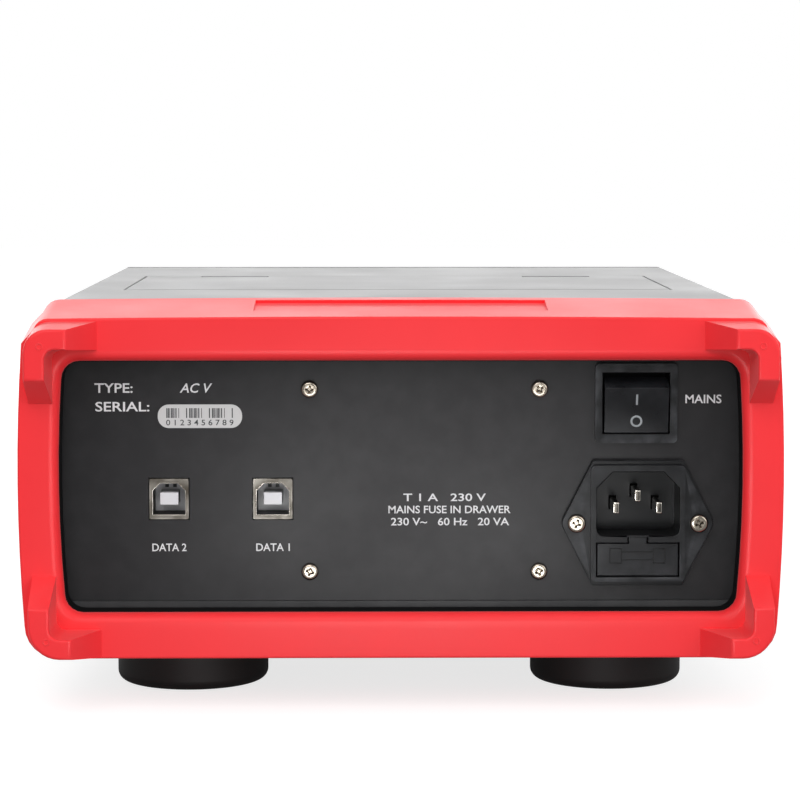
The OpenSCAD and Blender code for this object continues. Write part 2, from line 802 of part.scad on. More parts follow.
module fuse_drawer() {
    bay = fuse_l / 2 + 0.6;
    tail = drawer_w / 2 - 3;
    y1 = block_y - 0.4;
    color("#232427") difference() {
        union() {
            block(inlet_x - drawer_w / 2, inlet_x + drawer_w / 2, drawer_in + slide_gap, y1,
                  drawer_z0, drawer_z1);
            block(inlet_x - latch_w / 2 + slide_gap, inlet_x + latch_w / 2 - slide_gap, y1 - 1.4, y1,
                  drawer_z1 - sink, drawer_z1 + latch_h - slide_gap);
        }
        block(inlet_x - bay, inlet_x + bay, fuse_y - fuse_bay, fuse_y + fuse_bay,
              fuse_z - 3.1, drawer_z1 + cut);
        block(inlet_x - tail, inlet_x + tail, drawer_in - cut, fuse_y - fuse_bay - 3,
              drawer_z0 + 2, drawer_z1 + cut);
    }
}

module fuse() {
    color("#d7dadf") rod_x(fuse_y, fuse_z, inlet_x - fuse_l / 2, inlet_x + fuse_l / 2, 2 * fuse_r);
}

// Data ports
port_y0 = y_panel - port_d;
port_y1 = y_panel + 0.4;
tongue_w = 6;
tongue_t = 4;

module port_opening(x, g) {
    hx = port_w / 2 - port_wall + g;
    hz = port_h / 2 - port_wall - 0.4 + g;
    c = 2.4;
    polygon([[x - hx, port_z - hz], [x + hx, port_z - hz], [x + hx, port_z + hz - c],
             [x + hx - c, port_z + hz], [x - hx + c, port_z + hz], [x - hx, port_z + hz - c]]);
}

module port_shell(x) {
    color("#c6c8cb") difference() {
        along_y(port_y0, port_y1) middle_rect(x, port_z, port_w, port_h, 0.5);
        along_y(port_y0 - cut, port_y1 + cut) port_opening(x, 0);
    }
}

module port_shell_left() {
    port_shell(port_xs[1]);
}

module port_shell_right() {
    port_shell(port_xs[0]);
}

module port_inserts() {
    color("#e8e8e4") for (x = port_xs) {
        along_y(port_y0 + 0.2, port_y0 + 2.6) port_opening(x, -0.1);
        along_y(port_y0 + 2, port_y1 - 1) middle_rect(x, port_z, tongue_w, tongue_t);
    }
}

port_board_z = port_z - port_h / 2 - fit;
port_board_y0 = y_panel - 48;
pillar_spots = [for (x = [port_xs[0], port_xs[1] + 6]) [x, port_board_y0 + 9]];

module port_board() {
    color("#2e7a46") difference() {
        block(core_x + core_w / 2 + 1.5, port_xs[0] + 14, port_board_y0, y_panel - panel_t - 1.5,
              port_board_z - board_t, port_board_z);
        for (p = pillar_spots)
            rod_z(p[0], p[1], port_board_z - board_t - cut, port_board_z + cut, 2.5);
    }
}

module port_pillars() {
    color("#c9a75a") for (p = pillar_spots)
        rod_z(p[0], p[1], z0 + wall + 0.02, port_board_z - board_t - 0.02, 6);
}

// Main board and what stands on it
board_top = board_low + board_t;
board_screw_d = 2.9;
board_screw_l = 11;              // bore of a board screw in its boss

module main_board() {
    color("#2e7a46") difference() {
        block(-board_hw, board_hw, board_y0, board_y1, board_low + 0.02, board_top);
        for (x = [-board_boss_x, board_boss_x], y = board_boss_ys)
            rod_z(x, y, board_low - cut, board_top + cut, board_screw_d + screw_gap);
    }
}

module board_screws() {
    color("#b9bcc0") for (x = [-board_boss_x, board_boss_x], y = board_boss_ys)
        translate([x, y, board_top + 0.02]) pan_screw(board_screw_d, 5.6, 2, board_t + board_screw_l - 3);
}

shield_x = 42;                   // middles of the two screening cans
shield_w = 64;
shield_l = 50;
shield_h = 18;
shield_t = 0.6;
shield_y = board_y0 + 73;
shield_pitch = 7;                // its vent holes
can_d = 22;                      // reservoir capacitors
can_h = 32;
can_pitch = 26;
can_in = 37.5;                   // first capacitor, in from the board's edge
sink_in = 35.5;                  // heat sink, in from the board's other edge
sink_back = 30;                  // and from its rear edge
sink_w = 50;                     // heat sink: plate, fins, and the two regulators on its front
sink_h = 34;
sink_t = 3;
fin_l = 12.5;
fin_t = 1.4;
fin_pitch = 4.8;
chip_w = 10;
chip_h = 16;
chip_t = 4.5;
chip_x = 12;
chip_up = 14;

module channel_shields() {
    color("#c6c8cb") for (x = [-shield_x, shield_x]) difference() {
        can(x, 0, board_top + 0.02, board_top + shield_h);
        can(x, shield_t, board_top - cut, board_top + shield_h - shield_t);
        for (i = [-3:3], j = [-2:2])
            rod_z(x + i * shield_pitch, shield_y + j * shield_pitch, board_top + shield_h - 2,
                  board_top + shield_h + cut, 2.4);
    }
}

// Block of one screening can, drawn in by g
module can(x, g, za, zb) {
    block(x - shield_w / 2 + g, x + shield_w / 2 - g,
          shield_y - shield_l / 2 + g, shield_y + shield_l / 2 - g, za, zb);
}

module reservoir_capacitors() {
    color("#2b3a55") for (i = [0:2])
        rod_z(-board_hw + can_in + can_pitch * i, board_y1 - can_d, board_top + 0.02, board_top + can_h,
              can_d);
}

module heat_sink() {
    x = board_hw - sink_in;
    y = board_y1 - sink_back;
    low = board_top + 0.02;
    color("#9b9ea2") {
        block(x - sink_w / 2, x + sink_w / 2, y - sink_t / 2, y + sink_t / 2, low, board_top + sink_h);
        for (i = [-5:5]) let (fx = x + i * fin_pitch)
            block(fx - fin_t / 2, fx + fin_t / 2, y + sink_t / 2 - sink, y + sink_t / 2 + fin_l,
                  low, board_top + sink_h);
    }
    color("#1d1e20") for (cx = [x - chip_x, x + chip_x])
        block(cx - chip_w / 2, cx + chip_w / 2, y - sink_t / 2 - chip_t, y - sink_t / 2 + sink,
              board_top + chip_up, board_top + chip_up + chip_h);
}

// Storage compartment and its lid
lid_y1 = y_panel - lid_back;
lid_y0 = lid_y1 - lid_d;
hinge_y = lid_y1 - barrel_r;
hinge_z = z1 - barrel_r;
rim_z = z1 - wall;               // the rim lies under the cover
rim_t = 2;
tray_hw = lid_w / 2 - 4;
tray_low = rim_z - tray_depth;
tray_y0 = lid_y0 + 4;
tray_y1 = hinge_y - barrel_r - 3;
groove_r = barrel_r + 0.6;
lid_end_gap = 0.6;
ear_hw = min(lid_w / 2 + 6, hw_top - wall - 0.8);   // the ears end inside the cover's walls
pin_in = 7;
scoop_steps = 5;
scoop_pitch = 1.5;

module storage_tray() {
    groove = lid_w / 2 + lid_end_gap;
    color("#b9babd") difference() {
        union() {
            block(-ear_hw, ear_hw, lid_y0 - 6, tray_y1 + tray_wall, rim_z - rim_t, rim_z - 0.02);
            block(-tray_hw - tray_wall, tray_hw + tray_wall, tray_y0 - tray_wall, tray_y1 + tray_wall,
                  tray_low - tray_wall, rim_z - 1);
            block(-ear_hw, ear_hw, tray_y1, lid_y1 + 4, hinge_z - barrel_r - 3, rim_z - 0.02);
        }
        block(-tray_hw, tray_hw, tray_y0, tray_y1, tray_low, rim_z + cut);
        rod_x(hinge_y, hinge_z, -groove, groove, 2 * groove_r);
        block(-groove, groove, hinge_y - groove_r, hinge_y + groove_r, hinge_z, rim_z + cut);
        rod_x(hinge_y, hinge_z, -ear_hw - cut, ear_hw + cut, lid_pin_d + 2 * run_gap);
    }
}

module storage_lid() {
    lid_low = rim_z + 0.05 + (wall - lid_t);
    color("#c4c5c8") difference() {
        union() {
            block(-lid_w / 2, lid_w / 2, lid_y0, hinge_y, lid_low, z1);
            rod_x(hinge_y, hinge_z, -lid_w / 2, lid_w / 2, 2 * barrel_r);
        }
        rod_x(hinge_y, hinge_z, -lid_w / 2 - cut, -lid_w / 2 + pin_in + 0.6, lid_pin_d + 2 * run_gap);
        rod_x(hinge_y, hinge_z, lid_w / 2 - pin_in - 0.6, lid_w / 2 + cut, lid_pin_d + 2 * run_gap);
        for (s = [-1, 1]) difference() {
            rod_x(lid_y0 + 3, z1 + 7.5, s * scoop_x - scoop_w / 2, s * scoop_x + scoop_w / 2, 18);
            for (i = [0:scoop_steps]) let (y = lid_y0 + 0.6 + i * scoop_pitch)
                block(s * scoop_x - scoop_w / 2, s * scoop_x + scoop_w / 2, y, y + 0.6, z1 - 3, z1 - 0.7);
        }
    }
}

module lid_hinge_pins() {
    color("#b9bcc0") for (s = [0, 1]) mirror([s, 0, 0])
        rod_x(hinge_y, hinge_z, lid_w / 2 - pin_in, ear_hw - 0.2, lid_pin_d);
}

// Feet: every foot takes its screw in the middle of a recess, the front ones hide it behind a tilt leg
foot_x = foot_pitch_x / 2;
foot_rear_y = y_band - foot_gap - foot_d / 2;
foot_front_y = y_seam + foot_front;
foot_spots = [for (x = [-foot_x, foot_x], y = [foot_front_y, foot_rear_y]) [x, y]];
foot_screw_d = 3.9;
recess_up = leg_t + 2;
leg_hinge_y = -14;
leg_hinge_z = 1 + leg_t / 2;
leg_pin_d = 3;
leg_pin_out = 3.8;               // length of a leg's pin in the foot, to each side
leg_rib = 3;
foot_skin = 0.05;

module foot_profile() {
    translate([0, foot_r]) square([foot_d / 2, foot_h - foot_r - foot_skin]);
    square([foot_d / 2 - foot_r, foot_h - foot_skin]);
    translate([foot_d / 2 - foot_r, foot_r]) circle(foot_r);
}

module foot(x, y, leg) {
    color("#17181a") translate([x, y, 0]) difference() {
        rotate_extrude() intersection() {
            foot_profile();
            square([foot_d, foot_h]);
        }
        rod_z(0, 0, recess_up - sink, foot_h + cut, foot_screw_d + 1.5 * screw_gap);
        if (leg) {
            leg_recess();
            rod_x(leg_hinge_y, leg_hinge_z, -leg_w / 2 - leg_pin_out - 0.2, leg_w / 2 + leg_pin_out + 0.2,
                  leg_pin_d + 2 * run_gap);
        } else {
            rod_z(0, 0, -cut, recess_up, foot_boss_d);
        }
    }
}

module leg_recess() {
    block(-leg_w / 2 - 0.5, leg_w / 2 + 0.5, leg_hinge_y - leg_t / 2 - 0.6, leg_hinge_y + leg_l + 1,
          -cut, recess_up);
}

module foot_rear_left() {
    foot(foot_x, foot_rear_y, false);
}

module foot_rear_right() {
    foot(-foot_x, foot_rear_y, false);
}

module foot_front_left() {
    foot(foot_x, foot_front_y, true);
}

module foot_front_right() {
    foot(-foot_x, foot_front_y, true);
}

module foot_screws() {
    color("#b9bcc0") for (p = foot_spots)
        translate([p[0], p[1], recess_up - 0.02]) mirror([0, 0, 1])
            pan_screw(foot_screw_d, 8, 0.9, foot_h - recess_up + 8);
}

module tilt_leg(x) {
    color("#1f2022") translate([x, foot_front_y, 0]) difference() {
        union() {
            rod_x(leg_hinge_y, leg_hinge_z, -leg_w / 2, leg_w / 2, leg_t);
            block(-leg_w / 2, leg_w / 2, leg_hinge_y, leg_hinge_y + leg_l,
                  leg_hinge_z - leg_t / 2, leg_hinge_z);
            for (x0 = [-leg_w / 2, leg_w / 2 - leg_rib])
                block(x0, x0 + leg_rib, leg_hinge_y, leg_hinge_y + leg_l, leg_hinge_z - 1,
                      leg_hinge_z + leg_t / 2 - 0.5);
        }
        rod_x(leg_hinge_y, leg_hinge_z, -leg_w / 2 - cut, leg_w / 2 + cut, leg_pin_d + 2 * run_gap);
    }
}

module tilt_leg_left() {
    tilt_leg(foot_x);
}

module tilt_leg_right() {
    tilt_leg(-foot_x);
}

module leg_pins() {
    color("#b9bcc0") for (x = [-foot_x, foot_x])
        rod_x(foot_front_y + leg_hinge_y, leg_hinge_z, x - leg_w / 2 - leg_pin_out,
              x + leg_w / 2 + leg_pin_out, leg_pin_d);
}

module case_screws() {
    color("#b9bcc0") for (x = [-post_x, post_x], y = post_ys)
        translate([x, y, z0 + head_sink - 0.02]) mirror([0, 0, 1])
            pan_screw(screw_d, 7.6, 2.6, post_split - z0 - head_sink + screw_grip);
}

// Front: frame, panel, window, keys and sockets
face_z0 = (z0 + z1 - face_h) / 2;
face_z1 = face_z0 + face_h;
face_hw = face_w / 2;
ledge = 3;
view_x0 = -face_hw + 8;
view_x1 = view_x0 + view_w;
view_z1 = face_z1 - 7;
view_z0 = view_z1 - view_h;
key_pitch = 18;
key_xs = [face_hw - 46, face_hw - 18];
key_zs = [for (i = [0:3]) face_z1 - 15 - i * key_pitch];
key_spots = [for (z = key_zs, x = key_xs) [x, z]];
key_flange = 1.2;                // rim behind the panel that keeps a key in
board_y = y_seam + 8;            // front face of the front board
bnc_up = 16;
bnc_in = 24;
bnc_pitch = 70;
bnc_z = face_z0 + bnc_up;
bnc_xs = [view_x0 + bnc_in, view_x0 + bnc_in + bnc_pitch];
seat_l = 6;                      // how far the front frame runs into the shells
seat_t = 2;
view_t = 1.5;                    // display window
front_r = 2;                     // round of the front frame's outer edge

function front_section(y, inset) = [y, body_points(-inset, z0 + inset, z1 - inset)];

module front_bezel() {
    color("#56585c") difference() {
        union() {
            loft(concat([for (a = [90:-22.5:0])
                            front_section(y_front + front_r * (1 - sin(a)), front_r * (1 - cos(a)))],
                        [front_section(y_seam - 0.02, 0)]));
            along_y(y_seam - cut, y_seam + seat_l) case_outline(-wall - fit);
        }
        along_y(y_front - cut, y_face + face_t) middle_rect(0, (z0 + z1) / 2, face_w, face_h, 5);
        along_y(y_face, y_seam) middle_rect(0, (z0 + z1) / 2, face_w - 2 * ledge, face_h - 2 * ledge, 3);
        along_y(y_seam - 0.5, y_seam + seat_l + cut) case_outline(-wall - fit - seat_t);
    }
}

module front_panel() {
    color("#3d3f43") difference() {
        along_y(y_face, y_face + face_t - 0.05)
            middle_rect(0, (z0 + z1) / 2, face_w - 2 * fit, face_h - 2 * fit, 4.8);
        along_y(y_face - cut, y_face + face_t + cut) {
            rect(view_x0 + 2, view_x1 - 2, view_z0 + 2, view_z1 - 2, 2);
            for (p = key_spots) middle_rect(p[0], p[1], key_w + 2 * slide_gap, key_h + 2 * slide_gap);
        }
        along_y(y_face - cut, y_face + view_t + 0.1)
            rect(view_x0 - fit, view_x1 + fit, view_z0 - fit, view_z1 + fit, 3);
        for (x = bnc_xs) rod_y(x, bnc_z, y_face - cut, y_face + face_t + cut, bnc_d + 0.2);
    }
}

module display_window() {
    color([0.1, 0.12, 0.14, 0.6])
        along_y(y_face + 0.05, y_face + 0.05 + view_t) rect(view_x0, view_x1, view_z0, view_z1, 3);
}

module display_module() {
    color("#141517")
        block(view_x0 + 4, view_x1 - 4, y_face + face_t + 2 * fit, board_y - 0.02,
              view_z0 + 4, view_z1 - 4);
}

module front_board() {
    color("#2e7a46") difference() {
        block(-face_hw + 6, face_hw - 6, board_y, board_y + board_t, bnc_z + 10, face_z1 - 4);
        for (p = key_spots) rod_y(p[0] + 7, p[1], board_y - cut, board_y + board_t + cut, 1);
    }
}

switch_l = 3.5;
switch_side = 6;
plunger_d = 3.2;
plunger_y = board_y - switch_l + 0.4;   // rear end of a key's plunger, in its switch

module key_switches() {
    color("#2a2b2e") for (p = key_spots) difference() {
        along_y(board_y - switch_l, board_y - 0.02) middle_rect(p[0], p[1], switch_side, switch_side);
        rod_y(p[0], p[1], board_y - switch_l - cut, plunger_y + key_travel + 3 * slide_gap,
              plunger_d + 2 * slide_gap);
    }
}

// A key stays 1 mm proud of the panel when it is pressed home
module key(i) {
    p = key_spots[i];
    back = y_face + face_t + fit;
    color("#d9dadc") {
        along_y(y_face - key_travel - 1, back + 0.1) middle_rect(p[0], p[1], key_w, key_h, 1.2);
        along_y(back, back + 1)
            middle_rect(p[0], p[1], key_w + 2 * key_flange, key_h + 2 * key_flange, key_flange);
        rod_y(p[0], p[1], back + 0.5, plunger_y, plunger_d);
    }
}

module key_left() {
    key(0);
}

module key_right() {
    key(1);
}

module key_auto() {
    key(2);
}

module key_hold() {
    key(3);
}

module key_volt() {
    key(4);
}

module key_decibel() {
    key(5);
}

module key_up() {
    key(6);
}

module key_down() {
    key(7);
}

flat_d = 14.5;                   // flange of an input socket against the panel
flat_t = 3;
collar_d = 11;
collar_t = 3.2;
bore_d = 8;
thread_l = 5;                    // its thread behind the panel

module bnc_body(x) {
    color("#c8cacc") difference() {
        union() {
            rod_y(x, bnc_z, y_face - bnc_l, y_face + face_t + thread_l, bnc_d);
            rod_y(x, bnc_z, y_face - flat_t, y_face - 0.02, flat_d);
            rod_y(x, bnc_z, y_face - flat_t - collar_t, y_face - flat_t + sink, collar_d);
            rod_z(x, y_face - bnc_l + 4.6, bnc_z - bnc_d / 2 - 0.9, bnc_z + bnc_d / 2 + 0.9, 2);
        }
        rod_y(x, bnc_z, y_face - bnc_l - cut, y_face + face_t + thread_l + cut, bore_d);
    }
}

module bnc_body_left() {
    bnc_body(bnc_xs[0]);
}

module bnc_body_right() {
    bnc_body(bnc_xs[1]);
}

module bnc_inserts() {
    color("#ecebe6") for (x = bnc_xs) difference() {
        union() {
            rod_y(x, bnc_z, y_face - bnc_l + 8.5, y_face + face_t + thread_l, bore_d - 0.04);
            rod_y(x, bnc_z, y_face - bnc_l + 1.6, y_face - bnc_l + 9, 4.6);
        }
        rod_y(x, bnc_z, y_face - bnc_l - cut, y_face + face_t + thread_l + cut, 2.2);
    }
}

module bnc_contacts() {
    color("#d9b24c") for (x = bnc_xs) difference() {
        rod_y(x, bnc_z, y_face - bnc_l + 1.8, y_face + face_t + thread_l + 4, 2.1);
        rod_y(x, bnc_z, y_face - bnc_l, y_face - bnc_l + 8, 1.4);
    }
}

module bnc_nuts() {
    color("#c8cacc") for (x = bnc_xs) difference() {
        nut_y(x, bnc_z, y_face + face_t + 2.6, bnc_d - 2 * run_gap, 14, 2.5);
        rod_y(x, bnc_z, y_face, y_face + face_t + 4, bnc_d + 0.04);
    }
}

bottom_case();
top_cover();
rear_bumper();
rear_panel();
front_bezel();
front_panel();
display_window();
display_module();
front_board();
key_switches();
bnc_body_left();
bnc_body_right();
bnc_inserts();
bnc_contacts();
bnc_nuts();
storage_tray();
storage_lid();
lid_hinge_pins();
foot_rear_left();
foot_rear_right();
foot_front_left();
foot_front_right();
foot_screws();
tilt_leg_left();
tilt_leg_right();
leg_pins();
case_screws();
transformer_core();
transformer_bobbin();
transformer_winding();
transformer_spacers();
transformer_screws();
transformer_nuts();
switch_body();
switch_rocker();
inlet_body();
inlet_pins();
inlet_screws();
inlet_nuts();
fuse_drawer();
fuse();
port_shell_left();
port_shell_right();
port_inserts();
port_board();
port_pillars();
main_board();
board_screws();
channel_shields();
reservoir_capacitors();
heat_sink();
key_left();
key_right();
key_auto();
key_hold();
key_volt();
key_decibel();
key_up();
key_down();
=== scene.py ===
"""Finishes the two-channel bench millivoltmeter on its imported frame.

It makes the rubber rear frame, the shells, the rear panel's fittings and print, the feet and the front.
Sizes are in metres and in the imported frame: +Z up, the connectors face +Y, the keys and input sockets -Y.
"""

import json
import math

import bpy
from bpy.props import BoolProperty, FloatProperty, FloatVectorProperty, IntProperty, PointerProperty
from bpy.types import Operator, Panel, PropertyGroup
from mathutils import Matrix, Vector


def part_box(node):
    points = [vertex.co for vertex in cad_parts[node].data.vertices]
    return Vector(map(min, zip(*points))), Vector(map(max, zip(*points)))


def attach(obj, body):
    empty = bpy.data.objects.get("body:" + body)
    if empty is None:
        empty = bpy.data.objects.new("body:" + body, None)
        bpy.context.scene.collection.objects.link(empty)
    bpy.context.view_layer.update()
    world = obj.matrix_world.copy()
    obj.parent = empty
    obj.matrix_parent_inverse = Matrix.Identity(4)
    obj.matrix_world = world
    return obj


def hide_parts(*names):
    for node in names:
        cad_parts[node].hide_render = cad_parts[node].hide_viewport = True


bl_info = {
    "name": "Bench millivoltmeter",
    "version": (1, 0, 0),
    "blender": (4, 5, 0),
    "location": "3D View > Sidebar > Millivoltmeter",
    "description": "Builds the finished surfaces of a bench AC millivoltmeter on its packed frame",
    "category": "Object",
}

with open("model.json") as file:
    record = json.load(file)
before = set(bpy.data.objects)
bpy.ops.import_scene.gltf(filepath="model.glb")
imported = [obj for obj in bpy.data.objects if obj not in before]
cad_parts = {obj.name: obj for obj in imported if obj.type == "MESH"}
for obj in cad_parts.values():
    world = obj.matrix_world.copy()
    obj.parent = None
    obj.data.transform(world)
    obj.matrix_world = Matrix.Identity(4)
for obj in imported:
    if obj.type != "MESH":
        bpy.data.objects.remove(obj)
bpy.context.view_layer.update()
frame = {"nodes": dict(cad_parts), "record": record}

MM = 0.001
PANEL_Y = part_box("rear_panel")[1].y
FACE_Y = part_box("front_panel")[0].y
HORN_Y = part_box("rear_bumper")[1].y
# Turns that stand lettering up on the rear panel, and on the front panel
FACING_REAR = Matrix(((-1, 0, 0), (0, 0, 1), (0, 1, 0))).to_4x4()
FACING_FRONT = Matrix(((1, 0, 0), (0, 0, -1), (0, 1, 0))).to_4x4()


def ink(red, green, blue):
    """A colour as a paint card gives it, 0 to 255, made linear."""
    return tuple(
        c / 12.92 if c <= 0.04045 else ((c + 0.055) / 1.055) ** 2.4
        for c in (red / 255, green / 255, blue / 255)
    )


def paint(name, description, colour):
    """A colour setting."""
    return FloatVectorProperty(
        name=name, description=description, subtype="COLOR", size=3, default=ink(*colour)
    )


def amount(name, description):
    """A setting that makes an effect weaker or stronger than it is at 1."""
    return FloatProperty(name=name, description=description, default=1.0, min=0.0, max=3.0)


def length(name, description, default, low, high):
    """A setting for a length, given in millimetres."""
    return FloatProperty(
        name=name, description=description, default=default * MM, min=low * MM, max=high * MM,
        subtype="DISTANCE", unit="LENGTH",
    )


class FinishSettings(PropertyGroup):
    """Colours and strengths of the finishes."""

    rubber: paint("Rubber", "Colour of the rear frame", (243, 48, 54))
    cover: paint("Cover", "Colour of the top cover and lid", (153, 153, 154))
    base: paint("Base", "Colour of the bottom case", (35, 35, 37))
    panel: paint("Panel", "Powder coat of the rear panel", (24, 23, 25))
    print_white: paint("Print", "Printed words and marks", (212, 212, 214))
    digits: paint("Digits", "Lit digits of the two read-outs", (70, 235, 160))
    grain: amount("Grain", "Strength of the moulded and sprayed grain")
    # Wear also sets the drawn steel's pale edges, which are a painted highlight
    wear_and_glint: amount("Wear", "How far edges are rubbed and dust has settled")


class ShapeSettings(PropertyGroup):
    """Rounds and small sizes that the frame leaves to this file."""

    lining: length("Lining", "Thickness of the dark lining in the frame's window", 0.25, 0.1, 0.6)
    shell_edge: length("Shell edge", "Round of the shells' and lid's edges", 0.35, 0.1, 0.8)
    fitting_edge: length("Fitting edge", "Round of the edges of switch, inlet and keys", 0.3, 0.05, 0.6)
    print_height: length("Print height", "Height of the capitals on the rear panel", 3.2, 2, 5)
    bars: IntProperty(name="Bars", description="Bars on the sticker", default=46, min=10, max=80)
    lit: BoolProperty(name="Lit", description="Show digits on the two read-outs", default=True)


# Selecting and shaping

# In a copy of a frame node, points nearer than this are one point, and faces turned less than this one face
SAME_POINT = 2e-6
SAME_FACE = math.radians(0.05)
# An edge is rounded only if all the edges at its ends are at least this many times as long as the round
ROOM_FOR_ROUND = 1.6
# Height of the capitals in a text of size 1, and how far its outlines are fattened
CAPITALS = 0.729
FATTENED = 0.012


def clear():
    """Leaves nothing selected, in object mode."""
    if bpy.context.object and bpy.context.object.mode != "OBJECT":
        bpy.ops.object.mode_set(mode="OBJECT")
    bpy.ops.object.select_all(action="DESELECT")


def alone(piece):
    """Selects piece and nothing else."""
    clear()
    piece.select_set(True)
    bpy.context.view_layer.objects.active = piece


def pick(piece, kind, wanted):
    """Opens piece in edit mode with only those edges or polygons, by kind, selected that wanted names."""
    alone(piece)
    for group in (piece.data.vertices, piece.data.edges, piece.data.polygons):
        group.foreach_set("select", [False] * len(group))
    for part in getattr(piece.data, kind):
        part.select = bool(wanted(part))
    bpy.context.scene.tool_settings.mesh_select_mode = (False, kind == "edges", kind == "polygons")
    bpy.ops.object.mode_set(mode="EDIT")


def pick_faces(piece, wanted):
    """Picks the faces that wanted(middle, normal) names."""
    pick(piece, "polygons", lambda face: wanted(face.center, face.normal))


def pick_edges(piece, wanted):
    """Picks the edges that wanted(one end, other end) names."""
    points = [v.co.copy() for v in piece.data.vertices]
    pick(piece, "edges", lambda edge: wanted(*(points[end] for end in edge.vertices)))


def done():
    """Back to object mode."""
    bpy.ops.object.mode_set(mode="OBJECT")


def settle(piece):
    """Moves the object's place into its mesh."""
    alone(piece)
    bpy.ops.object.transform_apply(location=True, rotation=True, scale=True)
    return piece


def work(piece, kind, **values):
    """Adds a modifier of that kind and applies it."""
    alone(piece)
    step = piece.modifiers.new(kind.title(), kind)
    for name, value in values.items():
        setattr(step, name, value)
    bpy.ops.object.modifier_apply(modifier=step.name)


def join(pieces, name):
    """Joins pieces into the first one."""
    clear()
    for piece in pieces:
        piece.select_set(True)
    bpy.context.view_layer.objects.active = pieces[0]
    if len(pieces) > 1:
        bpy.ops.object.join()
    pieces[0].name = pieces[0].data.name = name
    return pieces[0]


def again(piece, name, shift, turn):
    """A copy of piece with a mesh of its own, turned and then shifted in its mesh."""
    made = piece.copy()
    made.data = piece.data.copy()
    made.name = made.data.name = name
    bpy.context.scene.collection.objects.link(made)
    made.data.transform(Matrix.Translation(shift) @ turn)
    return made


def dress(piece, body, slot, look=None, replaces=(), angle=32):
    """Gives a piece its shading up to an angle, its body, and the finish of its slot or another."""
    alone(piece)
    bpy.ops.object.shade_smooth_by_angle(angle=math.radians(angle))
    work(piece, "WEIGHTED_NORMAL", keep_sharp=True, weight=60)
    if not piece.data.materials:
        piece.data.materials.append(finish(look or SLOT_FINISHES[slot]))
    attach(piece, body)
    if replaces:
        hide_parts(*replaces)
    return piece


def rounded(piece, edge, steps, angle, look):
    """Rounds the outside edges sharper than angle that are long enough. Look is the number of a finish."""
    mesh = piece.data
    points = [v.co for v in mesh.vertices]
    sides, shortest = {}, {}
    for face in mesh.polygons:
        for key in face.edge_keys:
            sides.setdefault(key, []).append(face)
    for key in sides:
        long = (points[key[0]] - points[key[1]]).length
        for end in key:
            shortest[end] = min(long, shortest.get(end, 1.0))
    limit = math.cos(math.radians(angle))
    wanted = set()
    for key, faces in sides.items():
        if len(faces) != 2 or min(shortest[key[0]], shortest[key[1]]) < ROOM_FOR_ROUND * edge:
            continue
        first, second = faces
        outside = (second.center - first.center).dot(first.normal) < 0
        if outside and first.normal.dot(second.normal) < limit:
            wanted.add(key)
    pick(piece, "edges", lambda line: line.key in wanted)
    if wanted:
        bpy.ops.mesh.bevel(offset=edge, segments=steps, affect="EDGES", clamp_overlap=False,
                           miter_outer="ARC", material=look)
    done()


def from_frame(node, name, edge=0.0, steps=3, angle=35, looks=()):
    """A copy of a frame node with its outside edges rounded. A second finish goes on the rounds."""
    source = frame["nodes"][node]
    made = bpy.data.objects.new(name, source.data.copy())
    made.data.name = name
    made.data.materials.clear()
    bpy.context.scene.collection.objects.link(made)
    alone(made)
    if made.data.has_custom_normals:
        bpy.ops.mesh.customdata_custom_splitnormals_clear()
    for loose in [a.name for a in made.data.color_attributes]:
        made.data.color_attributes.remove(made.data.color_attributes[loose])
    pick_faces(made, lambda middle, normal: True)
    bpy.ops.mesh.remove_doubles(threshold=SAME_POINT)
    bpy.ops.mesh.dissolve_limited(angle_limit=SAME_FACE)
    bpy.ops.mesh.quads_convert_to_tris(quad_method="BEAUTY", ngon_method="BEAUTY")
    done()
    for look in looks:
        made.data.materials.append(finish(look))
    if edge > 0:
        rounded(made, edge, steps, angle, len(looks) - 1)
    return made


def dressed_copy(node, name, body, slot, edge, steps=3, angle=35, soft=32, look=None):
    """A rounded copy of a frame node, dressed to stand for it and shaded smooth up to the angle soft."""
    return dress(from_frame(node, name, edge, steps, angle), body, slot, look, [node], angle=soft)


def slab(name, x0, x1, y0, y1, z0, z1):
    """A box between six planes, as a start for a piece."""
    clear()
    bpy.ops.mesh.primitive_cube_add(size=1, location=((x0 + x1) / 2, (y0 + y1) / 2, (z0 + z1) / 2))
    made = bpy.context.object
    made.name = made.data.name = name
    made.scale = (x1 - x0, y1 - y0, z1 - z0)
    return settle(made)


def rod(name, radius, low, high, sides, ends="NGON"):
    """A cylinder along Z between two heights, as a start for a piece."""
    clear()
    bpy.ops.mesh.primitive_cylinder_add(vertices=sides, radius=radius, depth=high - low,
                                        location=(0, 0, (low + high) / 2), end_fill_type=ends)
    made = bpy.context.object
    made.name = made.data.name = name
    return settle(made)


def hoop(radius, line, place, turn=(0, 0, 0), sides=40):
    """A thin ring, as a start for a piece."""
    clear()
    bpy.ops.mesh.primitive_torus_add(major_radius=radius, minor_radius=line, major_segments=sides,
                                     minor_segments=8, location=place, rotation=turn)
    return bpy.context.object


def words(text, height, place, facing, width=None, side="CENTER", lean=0.0, depth=0.05 * MM):
    """Raised lettering: its capitals' height, where its side and foot start, and the way it faces."""
    clear()
    bpy.ops.object.text_add()
    made = bpy.context.object
    made.data.body = text
    made.data.align_x = "LEFT"
    made.data.shear = lean
    made.data.offset = FATTENED
    made.data.resolution_u = 3
    made.data.extrude = 0.5
    bpy.ops.object.convert(target="MESH")
    made = bpy.context.object
    across = [v.co.x for v in made.data.vertices]
    low, size = min(across), max(across) - min(across)
    rise = height / CAPITALS
    wide = width / size if width else rise
    shift = {"LEFT": 0.0, "CENTER": -0.5}[side] * size
    made.data.transform(
        Matrix.Translation(place)
        @ facing
        @ Matrix.Diagonal((wide, rise, depth, 1))
        @ Matrix.Translation((shift - low, 0, 0))
    )
    made.data.materials.clear()
    return made


# Shader nodes


